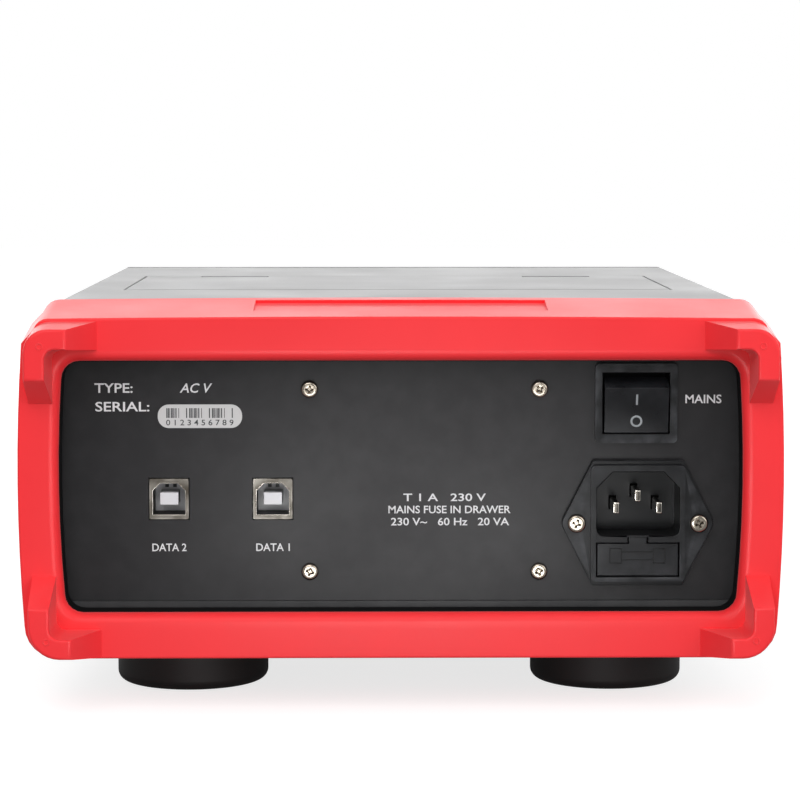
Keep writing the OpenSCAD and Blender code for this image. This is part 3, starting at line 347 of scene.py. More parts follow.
def put(tree, kind, settings=None, at=None, **inputs):
    """Adds a node. Each named input takes a value or another node's output; at does the same by number."""
    made = tree.nodes.new(kind)
    for name, value in (settings or {}).items():
        setattr(made, name, value)
    wanted = [(made.inputs[name.replace("_", " ")], value) for name, value in inputs.items()]
    wanted += [(made.inputs[number], value) for number, value in (at or {}).items()]
    for socket, value in wanted:
        if isinstance(value, bpy.types.NodeSocket):
            tree.links.new(value, socket)
        else:
            socket.default_value = value
    return made


def blend(tree, factor, first, second):
    """Mixes two colours."""
    return put(
        tree, "ShaderNodeMix", {"data_type": "RGBA", "blend_type": "MIX", "clamp_factor": True},
        {0: factor, 6: first, 7: second},
    ).outputs[2]


def product(tree, first, second, clamp=False):
    """Multiplies two values."""
    return put(
        tree, "ShaderNodeMath", {"operation": "MULTIPLY", "use_clamp": clamp}, {0: first, 1: second}
    ).outputs[0]


def spread(tree, value, low, high, to_low, to_high):
    """A Map Range node."""
    return put(
        tree, "ShaderNodeMapRange", {"clamp": True}, {0: value, 1: low, 2: high, 3: to_low, 4: to_high}
    ).outputs[0]


def here(tree):
    """The place on the piece, in metres."""
    return put(tree, "ShaderNodeTexCoord").outputs["Object"]


def bumped(tree, shader, strength, deep, height):
    """Lifts the shader's surface by a height, deep in millimetres."""
    lift = put(tree, "ShaderNodeBump", Strength=strength, Distance=deep * MM, Height=height)
    tree.links.new(lift.outputs[0], shader.inputs["Normal"])


def group_with(name, takes, gives):
    """An empty node group with named sockets."""
    made = bpy.data.node_groups.new(name, "ShaderNodeTree")
    for label, value in takes.items():
        socket = made.interface.new_socket(label, in_out="INPUT", socket_type="NodeSocketFloat")
        socket.default_value = value
    for label in gives:
        made.interface.new_socket(label, in_out="OUTPUT", socket_type="NodeSocketFloat")
    return made, made.nodes.new("NodeGroupInput"), made.nodes.new("NodeGroupOutput")


# Between which values of their node the patches, the convex edges, the breaks in these, the faces that look
# up and the patches of dust grow from nothing to full
PATCHY, CONVEX, BROKEN, LOOKS_UP, DUSTY = (0.3, 0.7), (0.52, 0.62), (0.38, 0.66), (0.35, 0.95), (0.35, 0.75)
LEAST_DUST = 0.1


def moulded_grain():
    """Fine grain of a moulded or sprayed surface, with broad patches that are a little rougher."""
    tree, start, end = group_with("Moulded grain", {"Size": 900.0, "Patches": 18.0}, ("Height", "Patch"))
    place = here(tree)
    fine = put(tree, "ShaderNodeTexNoise", Vector=place, Scale=start.outputs["Size"], Detail=3.0,
               Roughness=0.6)
    broad = put(tree, "ShaderNodeTexNoise", Vector=place, Scale=start.outputs["Patches"], Detail=4.0,
                Roughness=0.55)
    tree.links.new(fine.outputs[0], end.inputs["Height"])
    tree.links.new(spread(tree, broad.outputs[0], *PATCHY, 0.0, 1.0), end.inputs["Patch"])
    return tree


def rubbed_edge():
    """Where a convex edge is made paler: rubbed wear on most finishes, a painted highlight on the drawn
    steel.
    """
    tree, start, end = group_with("Rubbed edge", {"Amount": 0.3, "Breaks": 160.0}, ("Mask",))
    bend = put(tree, "ShaderNodeNewGeometry").outputs["Pointiness"]
    broken = put(tree, "ShaderNodeTexNoise", Vector=here(tree), Scale=start.outputs["Breaks"], Detail=5.0)
    edge = spread(tree, bend, *CONVEX, 0.0, 1.0)
    patchy = spread(tree, broken.outputs[0], *BROKEN, 0.0, 1.0)
    mask = product(tree, product(tree, edge, patchy), start.outputs["Amount"], clamp=True)
    tree.links.new(mask, end.inputs["Mask"])
    return tree


def settled_dust():
    """Where dust lies: on faces that look up, in soft patches."""
    tree, start, end = group_with("Settled dust", {"Amount": 0.2, "Scale": 60.0}, ("Mask",))
    facing = put(tree, "ShaderNodeNewGeometry").outputs["Normal"]
    up = put(tree, "ShaderNodeSeparateXYZ", Vector=facing).outputs["Z"]
    soft = put(tree, "ShaderNodeTexNoise", Vector=here(tree), Scale=start.outputs["Scale"], Detail=6.0,
               Roughness=0.7)
    lying = spread(tree, up, *LOOKS_UP, 0.0, 1.0)
    patchy = spread(tree, soft.outputs[0], *DUSTY, LEAST_DUST, 1.0)
    mask = product(tree, product(tree, lying, patchy), start.outputs["Amount"], clamp=True)
    tree.links.new(mask, end.inputs["Mask"])
    return tree


def stacked_plates(tree, shader):
    """Ridges of the core's stacked plates."""
    ridges = put(tree, "ShaderNodeTexWave", {"wave_type": "BANDS", "bands_direction": "Y"},
                 Vector=here(tree), Scale=640.0, Distortion=0.4, Detail=2.0)
    bumped(tree, shader, strength=0.6, deep=0.1, height=ridges.outputs["Fac"])


def brushed_marks(tree, shader):
    """Brush marks drawn out along Z."""
    drawn = put(tree, "ShaderNodeMapping", Vector=here(tree), Scale=(2400.0, 2400.0, 60.0)).outputs[0]
    marks = put(tree, "ShaderNodeTexNoise", Vector=drawn, Scale=1.0, Detail=4.0)
    bumped(tree, shader, strength=0.3, deep=0.03, height=marks.outputs[0])


def glowing(tree, shader):
    """Makes the digits glow, a little unevenly."""
    colour = tuple(bpy.context.scene.meter_finish.digits)
    grains = effect(tree, moulded_grain, Size=700.0, Patches=40.0)
    dim = (*[c * DIMMEST for c in colour], 1.0)
    glow = blend(tree, grains.outputs["Patch"], dim, (*colour, 1.0))
    tree.links.new(glow, shader.inputs["Emission Color"])
    shader.inputs["Emission Strength"].default_value = GLOW


# Finishes

# What holds where a recipe says nothing. Grain is the scale of the grain, bump its strength and deep its
# height in millimetres; drift is how far the shade wanders and uneven the gloss; the rub amount is how pale
# convex edges grow and its colour what they grow towards, rubbed wear on most finishes and a painted
# highlight on the drawn steel; clear is how much light goes through, and ior how it bends.
PLAIN = {
    "metal": 0.0, "grain": 900.0, "bump": 0.1, "deep": 0.05, "drift": 0.06, "rub": 0.0, "rub_and_highlight_colour": None,
    "dust": 0.0, "uneven": 0.08, "coat": 0.0, "specular": 0.5, "sheen": 0.0, "clear": 0.0, "ior": 1.5,
}
# The colour is a setting's name, or as a paint card gives it
RECIPES = {
    "rubber_red": dict(colour="rubber", rough=0.38, grain=2600, deep=0.02, drift=0.03, rub=0.2,
                       rub_and_highlight_colour=(246, 110, 112), dust=0.04, uneven=0.05, specular=0.2, sheen=0.16),
    "cover_grain": dict(colour="cover", rough=0.52, grain=1500, bump=0.45, deep=0.09, drift=0.035, rub=0.2,
                        dust=0.05, uneven=0.07),
    "base_grain": dict(colour="base", rough=0.55, grain=1500, bump=0.4, deep=0.08, rub=0.3, dust=0.06,
                       specular=0.3),
    "powder_coat": dict(colour="panel", rough=0.36, grain=2600, bump=0.12, deep=0.02, drift=0.04, rub=0.15,
                        uneven=0.03, specular=0.18),
    "lining_paint": dict(colour=(17, 17, 18), rough=0.62, grain=2600, bump=0.12, deep=0.02, drift=0.08,
                         specular=0.06),
    "black_plastic": dict(colour=(19, 20, 22), rough=0.34, grain=1300, bump=0.12, deep=0.03, drift=0.12,
                          rub=0.6, rub_and_highlight_colour=(84, 86, 90), dust=0.02, uneven=0.06, specular=0.14),
    "rocker_gloss": dict(colour=(15, 16, 19), rough=0.26, grain=1100, bump=0.05, deep=0.02, drift=0.1,
                         rub=0.6, rub_and_highlight_colour=(90, 93, 98), dust=0.01, uneven=0.05, specular=0.2),
    "sign_black": dict(colour=(8, 8, 9), rough=0.5, grain=1500, deep=0.01, drift=0.1, specular=0.2),
    "foot_rubber": dict(colour=(27, 26, 26), rough=0.6, grain=1700, bump=0.3, deep=0.04, drift=0.15, rub=0.3,
                        rub_and_highlight_colour=(56, 55, 54), dust=0.05, specular=0.3),
    "leg_plastic": dict(colour=(38, 39, 41), rough=0.45, grain=1400, bump=0.2, drift=0.1, rub=0.5,
                        rub_and_highlight_colour=(96, 96, 98), dust=0.1),
    "key_plastic": dict(colour=(214, 215, 217), rough=0.38, grain=1500, bump=0.15, drift=0.03, rub=0.15,
                        dust=0.03),
    "white_nylon": dict(colour=(206, 206, 210), rough=0.42, bump=0.08, drift=0.03),
    "nickel_plate": dict(colour=(152, 144, 132), rough=0.24, metal=1.0, grain=1400, bump=0.25, deep=0.03,
                         drift=0.2, uneven=0.1),
    "zinc_plate": dict(colour=(176, 178, 182), rough=0.34, metal=1.0, grain=1700, bump=0.2, deep=0.03,
                       drift=0.1),
    # Drawn steel of the port shells: its pale convex edges are a painted highlight of the rolled lips
    "drawn_steel": dict(colour=(64, 60, 54), rough=0.46, metal=1.0, grain=1300, bump=0.5, drift=0.35,
                        rub=0.5, rub_and_highlight_colour=(190, 186, 178), uneven=0.12),
    # Bright metal on the rounds of the inlet blades and the port shells: a painted highlight along their
    # edges
    "burnished_edge": dict(colour=(212, 207, 198), rough=0.26, metal=1.0, grain=2200, bump=0.2, deep=0.01,
                           drift=0.1),
    "blade_plate": dict(colour=(74, 71, 66), rough=0.3, metal=1.0, grain=1400, bump=0.15, deep=0.02,
                        drift=0.15),
    "gold_plate": dict(colour=(222, 184, 104), rough=0.22, metal=1.0, grain=1500, drift=0.1),
    "tin_plate": dict(colour=(206, 208, 210), rough=0.3, metal=1.0, grain=800, bump=0.14, drift=0.1),
    "brushed_aluminium": dict(colour=(176, 178, 182), rough=0.36, metal=1.0, grain=300, bump=0.0, drift=0.08),
    "core_plates": dict(colour=(96, 99, 104), rough=0.45, metal=0.7, grain=500, bump=0.15, drift=0.18),
    "board_mask": dict(colour=(34, 104, 62), rough=0.3, grain=260, bump=0.25, deep=0.04, drift=0.22,
                       coat=0.3),
    "winding_tape": dict(colour=(214, 176, 52), rough=0.35, grain=420, bump=0.3, deep=0.06, drift=0.12,
                         coat=0.2),
    "can_sleeve": dict(colour=(36, 50, 92), rough=0.28, grain=700, bump=0.06, drift=0.1, coat=0.3),
    "fuse_glass": dict(colour=(214, 218, 222), rough=0.12, metal=0.3, grain=600, bump=0.03, drift=0.08),
    "smoked_acrylic": dict(colour=(196, 200, 206), rough=0.06, grain=600, bump=0.02, deep=0.01, drift=0.04,
                           uneven=0.03, clear=0.92, ior=1.49),
    "lit_digits": dict(colour="digits", rough=0.4, bump=0.0, drift=0.1),
    "screen_print": dict(colour="print_white", rough=0.5, grain=3200, deep=0.01, drift=0.04),
    "dark_print": dict(colour=(40, 41, 44), rough=0.5, grain=3200, deep=0.01),
    "mark_paint": dict(colour=(140, 146, 150), rough=0.5, grain=3000, deep=0.01, drift=0.05),
    "sticker_paper": dict(colour=(190, 190, 190), rough=0.45, grain=1500, bump=0.08, drift=0.03),
}
EXTRAS = {"core_plates": stacked_plates, "brushed_aluminium": brushed_marks, "lit_digits": glowing}
SLOT_FINISHES = {
    "case_light": "cover_grain", "case_dark": "base_grain", "rubber_red": "rubber_red",
    "panel_dark": "powder_coat", "plastic_black": "black_plastic", "nickel": "nickel_plate",
    "steel": "zinc_plate", "port_steel": "drawn_steel", "foot_black": "foot_rubber",
    "leg_grey": "leg_plastic", "key_grey": "key_plastic", "insulator_white": "white_nylon",
    "gold": "gold_plate", "board_green": "board_mask", "lamination": "core_plates",
    "winding": "winding_tape", "aluminium": "brushed_aluminium", "can_blue": "can_sleeve",
    "tin": "tin_plate", "fuse_glass": "fuse_glass", "smoked": "smoked_acrylic",
}
DUST = (176, 170, 162)
PATCHES = 22.0
COAT_ROUGHNESS = 0.15
SHEEN_ROUGHNESS = 0.4
SMOOTHEST = 0.02
# Where a paler convex edge has no colour of its own, its finish's is made this much paler
PALER_BY, PALER_ADDED = 1.8, 0.03
# The digits' glow, and how much of it is left where it is dimmest
GLOW, DIMMEST = 4.0, 0.8
GROUPS = {}
FINISHES = {}


def effect(tree, maker, **values):
    """Places a node group, made once, in a material with its own values."""
    if maker.__name__ not in GROUPS:
        GROUPS[maker.__name__] = maker()
    made = put(tree, "ShaderNodeGroup", {"node_tree": GROUPS[maker.__name__]})
    for name, value in values.items():
        made.inputs[name].default_value = value
    return made


def finish(name):
    """The finish of that name: grain, uneven gloss, a drift of shade, paler convex edges and settled dust."""
    if name in FINISHES:
        return FINISHES[name]
    look = bpy.context.scene.meter_finish
    recipe = {**PLAIN, **RECIPES[name]}
    colour = recipe["colour"]
    colour = tuple(getattr(look, colour)) if isinstance(colour, str) else ink(*colour)
    material = bpy.data.materials.new(name)
    material.use_nodes = True
    tree = material.node_tree
    shader = tree.nodes["Principled BSDF"]
    for socket, value in (
        ("Metallic", recipe["metal"]), ("Coat Weight", recipe["coat"]), ("Coat Roughness", COAT_ROUGHNESS),
        ("Specular IOR Level", recipe["specular"]), ("Sheen Weight", recipe["sheen"]),
        ("Sheen Roughness", SHEEN_ROUGHNESS), ("Transmission Weight", recipe["clear"]),
        ("IOR", recipe["ior"]),
    ):
        shader.inputs[socket].default_value = value
    grains = effect(tree, moulded_grain, Size=recipe["grain"], Patches=PATCHES)
    darker, lighter = (
        (*[min(1.0, c * share) for c in colour], 1.0) for share in (1 - recipe["drift"], 1 + recipe["drift"])
    )
    shade = blend(tree, grains.outputs["Patch"], darker, lighter)
    # Convex edges turn paler: rubbed wear on most finishes, a painted highlight on the drawn steel
    if recipe["rub"]:
        rubbed_and_highlit = effect(tree, rubbed_edge, Amount=recipe["rub"] * look.wear_and_glint)
        pale_edge_colour = [min(1.0, c * PALER_BY + PALER_ADDED) for c in colour]
        if recipe["rub_and_highlight_colour"]:
            pale_edge_colour = ink(*recipe["rub_and_highlight_colour"])
        shade = blend(tree, rubbed_and_highlit.outputs["Mask"], shade, (*pale_edge_colour, 1.0))
    if recipe["dust"]:
        lying = effect(tree, settled_dust, Amount=recipe["dust"] * look.wear_and_glint)
        shade = blend(tree, lying.outputs["Mask"], shade, (*ink(*DUST), 1.0))
    tree.links.new(shade, shader.inputs["Base Color"])
    low, high = (recipe["rough"] + way * recipe["uneven"] for way in (-1, 1))
    gloss = spread(tree, grains.outputs["Patch"], 0.0, 1.0, max(SMOOTHEST, low), min(1.0, high))
    tree.links.new(gloss, shader.inputs["Roughness"])
    if recipe["bump"]:
        bumped(tree, shader, min(1.0, recipe["bump"] * look.grain), recipe["deep"], grains.outputs["Height"])
    if name in EXTRAS:
        EXTRAS[name](tree, shader)
    material.diffuse_color = (*colour, 1.0)
    FINISHES[name] = material
    return material


class METER_OT_carried(Operator):
    """Finishes of the frame's own nodes that stay as they are"""

    bl_idname = "meter.carried"
    bl_label = "Carried nodes"

    def execute(self, context):
        slots = {row["node"]: row["material_slot"] for row in frame["record"]["subparts"]}
        for name, node in frame["nodes"].items():
            node.data.materials.clear()
            node.data.materials.append(finish(SLOT_FINISHES[slots[name]]))
        return {"FINISHED"}


# Rear frame, shells and lid

# Places of the round gate marks on the four horns, x and z in millimetres, and their ring's sizes
GATE_MARKS = ((114.6, 120.8), (-114.6, 120.8), (113.4, 26.3), (-113.4, 26.3))
GATE_RADIUS, GATE_LINE = 0.95 * MM, 0.22 * MM
# The room in the frame's window: its lip stands 17 mm behind the tips of the horns
WINDOW_LOW = Vector((-112.5 * MM, PANEL_Y, 32.5 * MM))
WINDOW_HIGH = Vector((112.5 * MM, HORN_Y - 17 * MM, 115.8 * MM))


class METER_OT_rubber_frame(Operator):
    """Red rubber frame round the rear end, with four raised corners, gate marks and a dark lining"""

    bl_idname = "meter.rubber_frame"
    bl_label = "Rubber frame"

    def execute(self, context):
        rubber = from_frame("rear_bumper", "rubber_frame")
        # The horns' end faces are filled anew, because the frame's own hold a fold at the inner corner
        pick_faces(rubber, lambda middle, normal: abs(middle.y - HORN_Y) < 0.01 * MM)
        bpy.ops.mesh.delete(type="FACE")
        bpy.ops.mesh.select_all(action="SELECT")
        bpy.ops.mesh.fill_holes(sides=0)
        done()
        dress(rubber, "case", "rubber_red", replaces=["rear_bumper"], angle=38)
        upright = (math.pi / 2, 0, 0)
        marks = [
            settle(hoop(GATE_RADIUS, GATE_LINE, (x * MM, HORN_Y, z * MM), upright, sides=32))
            for x, z in GATE_MARKS
        ]
        dress(join(marks, "gate_marks"), "case", "rubber_red", angle=60)

        def reveal(middle, normal):
            near = 0.1 * MM
            within = all(WINDOW_LOW[i] - near < middle[i] < WINDOW_HIGH[i] + near for i in range(3))
            return within and abs(normal.y) < 0.02

        lining = from_frame("rear_bumper", "window_lining")
        pick_faces(lining, lambda middle, normal: not reveal(middle, normal))
        bpy.ops.mesh.delete(type="FACE")
        done()
        thick = context.scene.meter_shape.lining
        work(lining, "SOLIDIFY", thickness=thick, offset=1.0, use_even_offset=True)
        dress(lining, "case", "panel_dark", "lining_paint")
        return {"FINISHED"}


class METER_OT_shells(Operator):
    """Top cover, bottom case, lid and storage compartment, with rounded edges"""

    bl_idname = "meter.shells"
    bl_label = "Shells and lid"

    def execute(self, context):
        for node, name, body, slot in (
            ("top_cover", "cover_shell", "case", "case_light"),
            ("bottom_case", "base_shell", "case", "case_dark"),
            ("storage_lid", "storage_door", "storage_lid", "case_light"),
            ("storage_tray", "storage_well", "case", "case_light"),
        ):
            dressed_copy(node, name, body, slot, context.scene.meter_shape.shell_edge)
        return {"FINISHED"}


# Rear panel

# Text, height against the others, x and z of its start, width in millimetres, side it starts from and lean
PANEL_WORDS = (
    ("TYPE:", 1.0, 99.8, 103.9, 12.4, "LEFT", 0.0),
    ("AC V", 0.98, 72.1, 103.9, 10.6, "LEFT", 0.25),
    ("SERIAL:", 1.0, 99.6, 97.8, 17.6, "LEFT", 0.0),
    ("DATA 2", 0.81, 75.8, 51.8, 11.2, "CENTER", 0.0),
    ("DATA 1", 0.81, 41.9, 51.8, 11.0, "CENTER", 0.0),
    ("MAINS", 0.9, -98.8, 100.3, 11.8, "CENTER", 0.0),
    ("T 1 A   230 V", 0.8, -14.3, 68.2, 27.0, "CENTER", 0.0),
    ("MAINS FUSE IN DRAWER", 0.8, -15.9, 64.2, 40.0, "CENTER", 0.0),
    ("230 V~   60 Hz   20 VA", 0.8, -16.1, 60.2, 38.7, "CENTER", 0.0),
)
# The sticker's sides and foot, its corners, and how far it is sunk and how thick it is
STICKER_X, STICKER_Z = (51.8 * MM, 79.3 * MM), (92.3 * MM, 100.0 * MM)
STICKER_CORNER, STICKER_SUNK, STICKER_THICK = 3.6 * MM, 0.03 * MM, 0.13 * MM
# Its bars run from the first x to the second, between two heights, and its figures stand under them
BARS_X, BARS_Z = (77.0 * MM, 54.2 * MM), (95.6 * MM, 98.8 * MM)
BROAD_BAR, NARROW_BAR = 0.75, 0.42
FIGURES_X, FIGURES_Z, FIGURES_HIGH, FIGURES_WIDE = 65.6 * MM, 93.2 * MM, 1.9 * MM, 22.0 * MM
INK_THICK, INK_SUNK = 0.03 * MM, 0.01 * MM


class METER_OT_panel_print(Operator):
    """Printed words, rating lines and the numbered sticker of the rear panel"""

    bl_idname = "meter.panel_print"
    bl_label = "Panel print"

    def execute(self, context):
        shape = context.scene.meter_shape
        lines = [
            words(text, shape.print_height * share, Vector((x * MM, PANEL_Y - INK_SUNK, z * MM)),
                  FACING_REAR, width=wide * MM, side=side, lean=lean)
            for text, share, x, z, wide, side, lean in PANEL_WORDS
        ]
        dress(join(lines, "panel_words"), "case", "panel_dark", "screen_print", angle=20)

        back = PANEL_Y - STICKER_SUNK
        sticker = slab("number_sticker", *STICKER_X, back, back + STICKER_THICK, *STICKER_Z)
        same = 1e-9
        pick_edges(sticker, lambda a, b: abs(a.x - b.x) < same and abs(a.z - b.z) < same)
        bpy.ops.mesh.bevel(offset=STICKER_CORNER, segments=8, affect="EDGES", clamp_overlap=False)
        done()
        dress(sticker, "case", "panel_dark", "sticker_paper")

        start, end = BARS_X
        step = (start - end) / shape.bars
        front = back + STICKER_THICK - INK_SUNK
        bars = []
        for number in range(shape.bars):
            # About two places in five are left empty, and every third bar is narrow, so they say nothing
            if (number * 7 + number // 3) % 5 in (0, 3):
                continue
            wide = step * (BROAD_BAR if (number * 5) % 3 else NARROW_BAR)
            left = start - number * step
            bars.append(slab("bar", left - wide, left, front, front + INK_THICK, *BARS_Z))
        place = Vector((FIGURES_X, front + INK_SUNK / 2, FIGURES_Z))
        bars.append(words("0 1 2 3 4 5 6 7 8 9", FIGURES_HIGH, place, FACING_REAR, width=FIGURES_WIDE,
                          depth=INK_THICK))
        dress(join(bars, "number_bars"), "case", "panel_dark", "dark_print", angle=20)
        return {"FINISHED"}


# Of a pan head's rise: where its top starts, how much is rounded, and how deep its cross is
TOP, ROUND, CROSS_DEEP = 0.98, 0.58, 0.7
# Of its radius: half a wing's width, half the cross's length, the round of its rim, and where the edge starts
WING, ARM, CROSS_RIM, HEAD_RIM = 0.13, 0.5, 0.02, 0.9
# How narrow the cross is at its foot, and the least upward part of a level face's normal
CROSS_TAPER, LEVEL = 0.4, 0.99
# Node, name of the screws and radius of their heads
PANEL_SCREWS = (("transformer_screws", "core_screw", 2.8 * MM), ("inlet_screws", "inlet_screw", 3.0 * MM))
HEAD_RISE, STEM_RADIUS, STEM_IN_HEAD = 2.0 * MM, 1.5 * MM, 0.2 * MM
# How far the first screw's cross is turned, and each next one more, in radians
FIRST_TURN, NEXT_TURN = 0.35, 0.9


def pan_head(name, radius, rise):
    """A pan head with a cross recess, seated at the origin and facing +Z."""
    head = rod(name, radius, 0, rise, sides=40, ends="TRIFAN")
    top, wing, arm = rise * TOP, radius * WING, radius * ARM

    def on_top(middle, normal):
        return middle.z > top and normal.z > LEVEL

    pick_edges(head, lambda a, b: min(a.z, b.z) > top and min(a.xy.length, b.xy.length) > radius * HEAD_RIM)
    bpy.ops.mesh.bevel(offset=rise * ROUND, segments=7, profile=0.55, affect="EDGES", clamp_overlap=False)
    done()
    pick_faces(head, on_top)
    bpy.ops.mesh.dissolve_limited(angle_limit=math.radians(1))
    done()
    for way in ((1, 0, 0), (0, 1, 0)):
        for place in (-arm, -wing, wing, arm):
            pick_faces(head, on_top)
            bpy.ops.mesh.bisect(plane_co=tuple(place * c for c in way), plane_no=way)
            done()

    def in_cross(middle, normal):
        x, y = abs(middle.x), abs(middle.y)
        return on_top(middle, normal) and min(x, y) < wing and max(x, y) < arm

    pick_faces(head, in_cross)
    bpy.ops.mesh.extrude_region_move(TRANSFORM_OT_translate={"value": (0, 0, -rise * CROSS_DEEP)})
    foot = (0, 0, rise * (1 - CROSS_DEEP))
    bpy.ops.transform.resize(value=(CROSS_TAPER, CROSS_TAPER, 1), center_override=foot)
    done()

    def cross_rim(a, b):
        far = [max(abs(p.x), abs(p.y)) for p in (a, b)]
        near = [min(abs(p.x), abs(p.y)) for p in (a, b)]
        slack = 1.01
        within = max(far) < arm * slack and max(near) < wing * slack
        return min(a.z, b.z) > top and within and max(far) > wing * slack

    pick_edges(head, cross_rim)
    bpy.ops.mesh.bevel(offset=radius * CROSS_RIM, segments=2, affect="EDGES")
    done()
    return head


class METER_OT_screws(Operator):
    """Cross-head screws of the transformer and of the mains inlet"""

    bl_idname = "meter.screws"
    bl_label = "Panel screws"

    def execute(self, context):
        stand = Matrix.Rotation(-math.pi / 2, 4, "X")
        for node, name, radius in PANEL_SCREWS:
            low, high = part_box(node)
            seat = high.y - HEAD_RISE
            head = pan_head(name, radius, HEAD_RISE)
            stem = rod("stem", STEM_RADIUS, low.y - seat, STEM_IN_HEAD, sides=20)
            xs = (low.x + radius, high.x - radius)
            two_rows = high.z - low.z > 3 * radius
            zs = (low.z + radius, high.z - radius) if two_rows else ((low.z + high.z) / 2,)
            for number, (x, z) in enumerate((x, z) for z in zs for x in xs):
                turn = stand @ Matrix.Rotation(FIRST_TURN + NEXT_TURN * number, 4, "Z")
                parts = [again(part, name, (x, seat, z), turn) for part in (head, stem)]
                made = join(parts, f"{name}_{number + 1}")
                dress(made, "case", "nickel", replaces=[node])
            bpy.data.objects.remove(head)
            bpy.data.objects.remove(stem)
        return {"FINISHED"}


# The rocker's two marks: where they stand, half the bar's width and height, and the ring's sizes
MARKS_X, BAR_Z, RING_Z = -76.7 * MM, 101.8 * MM, 94.6 * MM
BAR_HALF_WIDE, BAR_HALF_HIGH, BAR_THICK = 0.33 * MM, 1.85 * MM, 0.08 * MM
RING_RADIUS, RING_LINE, RING_LIFT, RING_FLAT = 1.62 * MM, 0.33 * MM, 0.02 * MM, 0.18
MARKS_SUNK = 0.02 * MM
# A ray that looks for a face from behind starts at this y
BEHIND = 0.2


class METER_OT_switch(Operator):
    """Mains switch with its two marks"""

    bl_idname = "meter.switch"
    bl_label = "Mains switch"

    def execute(self, context):
        edge = context.scene.meter_shape.fitting_edge
        dressed_copy("switch_body", "switch_housing", "case", "plastic_black", edge, steps=2, angle=40)
        rocker = dressed_copy("switch_rocker", "switch_rocker_cap", "switch_rocker", "plastic_black", edge,
                              angle=20, soft=50, look="rocker_gloss")
        bar = slab("on_mark", -BAR_HALF_WIDE, BAR_HALF_WIDE, -BAR_HALF_HIGH, BAR_HALF_HIGH, 0, BAR_THICK)
        ring = hoop(RING_RADIUS, RING_LINE, (0, 0, RING_LIFT))
        ring.scale.z = RING_FLAT
        settle(ring)
        marks = []
        for mark, z in ((bar, BAR_Z), (ring, RING_Z)):
            hit, point, normal = rocker.ray_cast(Vector((MARKS_X, BEHIND, z)), Vector((0, -1, 0)))[:3]
            if not hit:
                raise RuntimeError("the rocker isn't where its marks are")
            across = Vector((-1, 0, 0))
            stand = Matrix((across, normal.cross(across), normal)).transposed().to_4x4()
            marks.append(again(mark, "rocker_mark", point - normal * MARKS_SUNK, stand))
            bpy.data.objects.remove(mark)
        dress(join(marks, "rocker_marks"), "switch_rocker", "plastic_black", "mark_paint", angle=50)
        return {"FINISHED"}


# The fuse sign on the drawer, in millimetres: its middle, its caps' near and far side, the caps' and the
# glass's lower and upper line, and the line's width
SIGN_X, CAP_NEAR, CAP_FAR = -77.2, 5.2, 9.0
CAP_LINES, GLASS_LINES, SIGN_LINE = (48.2, 53.0), (49.3, 51.9), 0.32
SIGN_SUNK, SIGN_RAISED = 0.05 * MM, 0.16 * MM
SMALL_ROUND = 0.05 * MM
# The drawer's round against that of the other fittings
DRAWER_EDGE = 0.8


class METER_OT_inlet(Operator):
    """Mains inlet with its blades, and the fuse drawer with its raised fuse sign"""

    bl_idname = "meter.inlet"
    bl_label = "Mains inlet"

    def execute(self, context):
        edge = context.scene.meter_shape.fitting_edge
        dressed_copy("inlet_body", "inlet_housing", "case", "plastic_black", edge)
        # The blades' rounds take a bright metal, a painted highlight of their tips
        blades = from_frame("inlet_pins", "inlet_blades", 0.5 * MM, angle=50,
                            looks=("blade_plate", "burnished_edge"))
        dress(blades, "case", "nickel", replaces=["inlet_pins"])
        dressed_copy("fuse_drawer", "fuse_drawer_front", "fuse_drawer", "plastic_black", edge * DRAWER_EDGE,
                     steps=2, angle=40)
        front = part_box("fuse_drawer")[1].y
        half = SIGN_LINE / 2

        def line(x0, x1, z0, z1):
            return slab("sign", (SIGN_X + x0) * MM, (SIGN_X + x1) * MM, front - SIGN_SUNK,
                        front + SIGN_RAISED, z0 * MM, z1 * MM)

        sign = []
        for near, far in ((-CAP_FAR, -CAP_NEAR), (CAP_NEAR, CAP_FAR)):
            sign += [line(near, far, z - half, z + half) for z in reversed(CAP_LINES)]
            sign += [line(x - half, x + half, CAP_LINES[0] - half, CAP_LINES[1] + half) for x in (near, far)]
        sign += [line(-CAP_NEAR, CAP_NEAR, z - half, z + half) for z in reversed(GLASS_LINES)]
        sign = join(sign, "fuse_sign")
        work(sign, "BEVEL", width=SMALL_ROUND, segments=2, limit_method="ANGLE", use_clamp_overlap=False)
        dress(sign, "fuse_drawer", "plastic_black", "sign_black")
        return {"FINISHED"}


# The two contact openings in each port, shown as black plates of painted shade: their places left and right
# of and above its middle, half their size, and how far they reach into the insert and out of it
SLOTS_X, SLOTS_Z, SLOT_HALF_WIDE, SLOT_HALF_HIGH = (-1.3 * MM, 1.3 * MM), 3.35 * MM, 0.62 * MM, 0.6 * MM
SLOT_IN, SLOT_OUT = 0.1 * MM, 0.06 * MM


